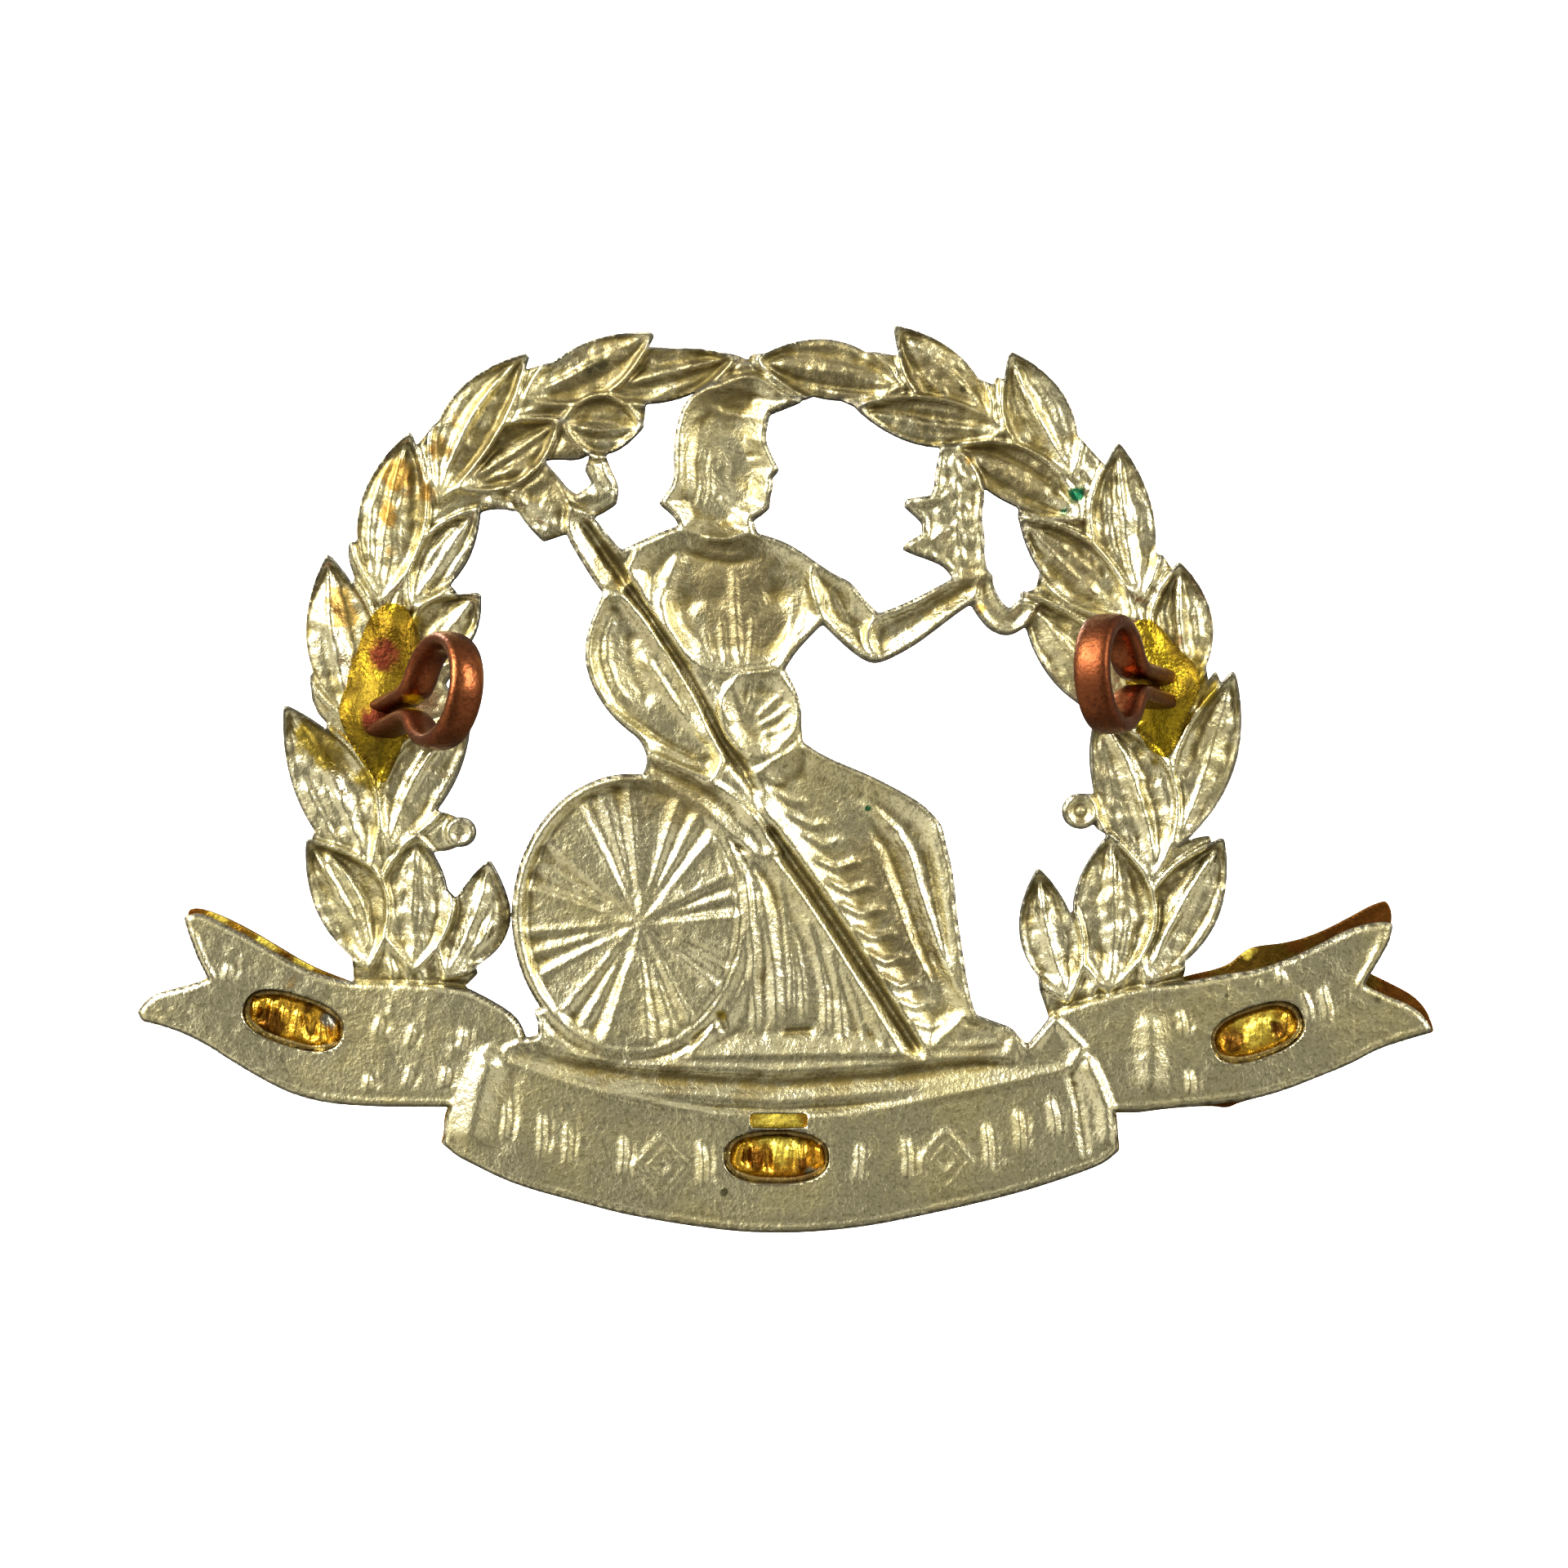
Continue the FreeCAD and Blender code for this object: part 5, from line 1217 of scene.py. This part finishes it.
def metal(name, clean, dull, dirt, roughness, grain, stains=()):
    """Worn metal: clean and dull patches, stains where the piece is marked, dirt in hollows, fine grain.

    A stain is (mark, colour, strength). Two of these marks are painted shade, not stains: the darkening
    along the plate's outlines and at its leaf tips, and the darkening on the bare brass beyond the plate.
    """
    material = bpy.data.materials.new(name)
    graph = Graph(material)
    coords = graph.add("ShaderNodeTexCoord", {})["Object"]
    broad = graph.noise(coords, 260.0)
    fine = graph.noise(coords, 2600.0, 3.0)
    grit = graph.noise(coords, 8000.0, 2.0)
    patches = graph.ramp(graph.math("ADD", broad, graph.math("MULTIPLY", fine, 0.35)), 0.52, 0.86)
    low = graph.ramp(graph.mark("cavity"), 0.015, 0.1)
    low = graph.math("MULTIPLY", low, graph.ramp(fine, 0.25, 0.6, 0.45, 0.9))
    colour = graph.mix(patches, clean, dull)
    rough = graph.ramp(patches, 0.0, 1.0, roughness * 0.85, roughness * 1.35)
    rough = graph.math("ADD", rough, graph.math("MULTIPLY", low, 0.2))
    wander = graph.math("MULTIPLY", graph.math("MULTIPLY_ADD", fine, 1.2, -0.6), 0.8)
    for stain, stain_colour, weight in stains:
        place = graph.mark(stain)
        amount = graph.ramp(graph.math("ADD", place, wander), 0.3, 0.75, 0.0, weight)
        amount = graph.math("MULTIPLY", amount, graph.ramp(place, 0.05, 0.3))
        colour = graph.mix(amount, colour, stain_colour)
        rough = graph.math("ADD", rough, graph.math("MULTIPLY", amount, 0.12))
    colour = graph.mix(graph.ramp(grit, 0.5, 0.68, 0.0, 0.42), colour, dirt)
    colour = graph.mix(low, colour, dirt)
    height = graph.math("ADD", graph.math("MULTIPLY", fine, 1.6), grit)
    normal = graph.add("ShaderNodeBump", {"Strength": grain, "Distance": GRAIN_DEPTH, "Height": height})[0]
    graph.fill(graph.nodes["Principled BSDF"], {
        "Metallic": 1.0, "Base Color": colour, "Roughness": rough, "Normal": normal,
    })
    return material


def plain(name, colour, roughness, emission=0.0):
    material = bpy.data.materials.new(name)
    graph = Graph(material)
    graph.fill(graph.nodes["Principled BSDF"], {
        "Base Color": colour, "Roughness": roughness,
        "Emission Color": colour, "Emission Strength": emission,
    })
    return material


GRAIN_DEPTH = 0.00004      # metres
WHITE_METAL = metal(
    "white_metal", (0.715, 0.655, 0.405), (0.5, 0.44, 0.225), (0.14, 0.106, 0.032), 0.26, 0.55, (
        ("tarnish", (0.23, 0.185, 0.085), 0.85),
        ("olive", (0.26, 0.18, 0.012), 0.95),
        ("orange", (0.38, 0.2, 0.03), 0.9),
        ("soot", (0.05, 0.045, 0.02), 0.9),
        ("green", (0.008, 0.08, 0.035), 1.0),
        # painted shade along the plate's outlines and cut edges and at the leaf tips
        ("edge", (0.13, 0.12, 0.09), 0.9),
    ))
GILDING_METAL = metal(
    "gilding_metal", (0.75, 0.42, 0.04), (0.42, 0.17, 0.012), (0.08, 0.025, 0.004), 0.26, 0.6, (
        # painted shade on the bare brass beyond the plate
        ("painted_shade_bare", (0.085, 0.05, 0.007), 0.95),
        ("lemon", (0.72, 0.56, 0.08), 1.0),
        ("brown", (0.09, 0.03, 0.005), 0.92),
        ("steel", (0.16, 0.18, 0.16), 0.9),
    ))
COPPER = metal(
    "copper", (0.2, 0.062, 0.021), (0.12, 0.034, 0.012), (0.035, 0.01, 0.006), 0.33, 0.35, (
        ("brazed", (0.6, 0.42, 0.03), 1.0),
    ))
BRAZE = metal(
    "braze", (0.33, 0.225, 0.012), (0.16, 0.095, 0.008), (0.06, 0.034, 0.005), 0.33, 1.0, (
        ("dark", (0.12, 0.08, 0.008), 0.9),
        ("red", (0.09, 0.018, 0.008), 1.0),
    ))
SOLDER = metal("solder", (0.36, 0.27, 0.1), (0.22, 0.14, 0.045), (0.1, 0.06, 0.02), 0.38, 0.6)

# ------------------------------------------------------------------ assembly


def finish_piece(obj, material, node):
    obj.data.materials.clear()
    obj.data.materials.append(material)
    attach(obj, "root")
    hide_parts(node)


struck = plate_relief()
plate_outline = blurred(struck.inside, EDGE_BLUR)
plate_back = blurred(struck.back, STRIKE_BLUR)
finish_piece(build_plate(struck, plate_outline, plate_back), WHITE_METAL, "badge_plate")
finish_piece(build_overlay(plate_outline), GILDING_METAL, "scroll_overlay")
for side in LOOPS:
    finish_piece(build_loop(side), COPPER, "lug_" + side)
    finish_piece(build_braze(side, plate_back), BRAZE, "lug_braze_" + side)
for name in WINDOWS:
    finish_piece(build_solder(name), SOLDER, "window_solder_" + name)

# ------------------------------------------------------------------ stage, light and camera


def stage_plane(name, corners, material):
    """Flat sheet of the set, which the metal doesn't reflect."""
    mesh = bpy.data.meshes.new(name)
    mesh.from_pydata(corners, [], [(0, 1, 2, 3)])
    mesh.materials.append(material)
    obj = bpy.data.objects.new(name, mesh)
    obj.visible_glossy = False
    bpy.context.scene.collection.objects.link(obj)


PAPER = plain("paper", (0.92, 0.92, 0.93), 0.9)
BACKDROP = plain("backdrop", (1.0, 1.0, 1.0), 0.9, 1.0)
FLOOR_Z = -0.06
WALL_Y = -0.22
floor_corners = ((-0.5, -0.4), (0.5, -0.4), (0.5, 0.5), (-0.5, 0.5))
wall_corners = ((-0.6, -0.4), (0.6, -0.4), (0.6, 0.4), (-0.6, 0.4))
stage_plane("floor", [(x, y, FLOOR_Z) for x, y in floor_corners], PAPER)
stage_plane("backdrop", [(x, WALL_Y, z) for x, z in wall_corners], BACKDROP)


def soft_light(name, place, size, power, colour):
    """Rectangular lamp that points at the badge."""
    data = bpy.data.lights.new(name, "AREA")
    data.shape = "RECTANGLE"
    data.size, data.size_y = size
    data.energy = power
    data.color = colour
    obj = bpy.data.objects.new(name, data)
    obj.location = place
    obj.rotation_euler = (-Vector(place)).to_track_quat("-Z", "Y").to_euler()
    bpy.context.scene.collection.objects.link(obj)


soft_light("left", (0.17, 0.15, 0.14), (0.13, 0.2), 1.75, (1.0, 0.99, 0.96))
soft_light("right", (-0.20, 0.13, 0.10), (0.08, 0.14), 0.6, (1.0, 0.99, 0.97))
soft_light("front", (0.12, -0.17, 0.16), (0.12, 0.12), 0.9, (1.0, 0.99, 0.97))


def room_world():
    """Dim warm room that is brightest overhead and to the left, with broad uneven patches."""
    world = bpy.data.worlds.new("room")
    graph = Graph(world)
    coords = graph.add("ShaderNodeTexCoord", {})["Generated"]
    side, depth, up = graph.add("ShaderNodeSeparateXYZ", {0: coords})
    share = graph.ramp(up, -0.35, 0.75, 0.05, 0.25)
    for more in (
        graph.ramp(graph.math("ABSOLUTE", side), 0.1, 0.75, 0.0, 0.5),
        graph.ramp(graph.noise(coords, 2.2, 2.0), 0.38, 0.62, 0.0, 0.3),
        graph.ramp(side, -0.05, 0.3, 0.0, 0.22),
    ):
        share = graph.math("ADD", share, more)
    for low, high, out_low, out_high in ((-0.5, 0.25, 0.3, 1.0), (0.7, 0.98, 1.0, 0.95)):
        share = graph.math("MULTIPLY", share, graph.ramp(depth, low, high, out_low, out_high))
    colour = graph.mix(share, (0.05, 0.045, 0.03), (1.0, 0.97, 0.9))
    graph.fill(graph.nodes["Background"], {0: colour, 1: 1.12})
    bpy.context.scene.world = world


room_world()
bpy.context.scene.view_settings.view_transform = "Standard"

camera_data = bpy.data.cameras.new("camera")
camera_data.lens = 100
camera_data.clip_start = 0.01
camera_data.clip_end = 5
camera = bpy.data.objects.new("camera", camera_data)
camera.location = (-0.00027, 0.144, -0.0027)
camera.rotation_euler = (math.radians(90), 0, math.radians(180))
bpy.context.scene.collection.objects.link(camera)
bpy.context.scene.camera = camera
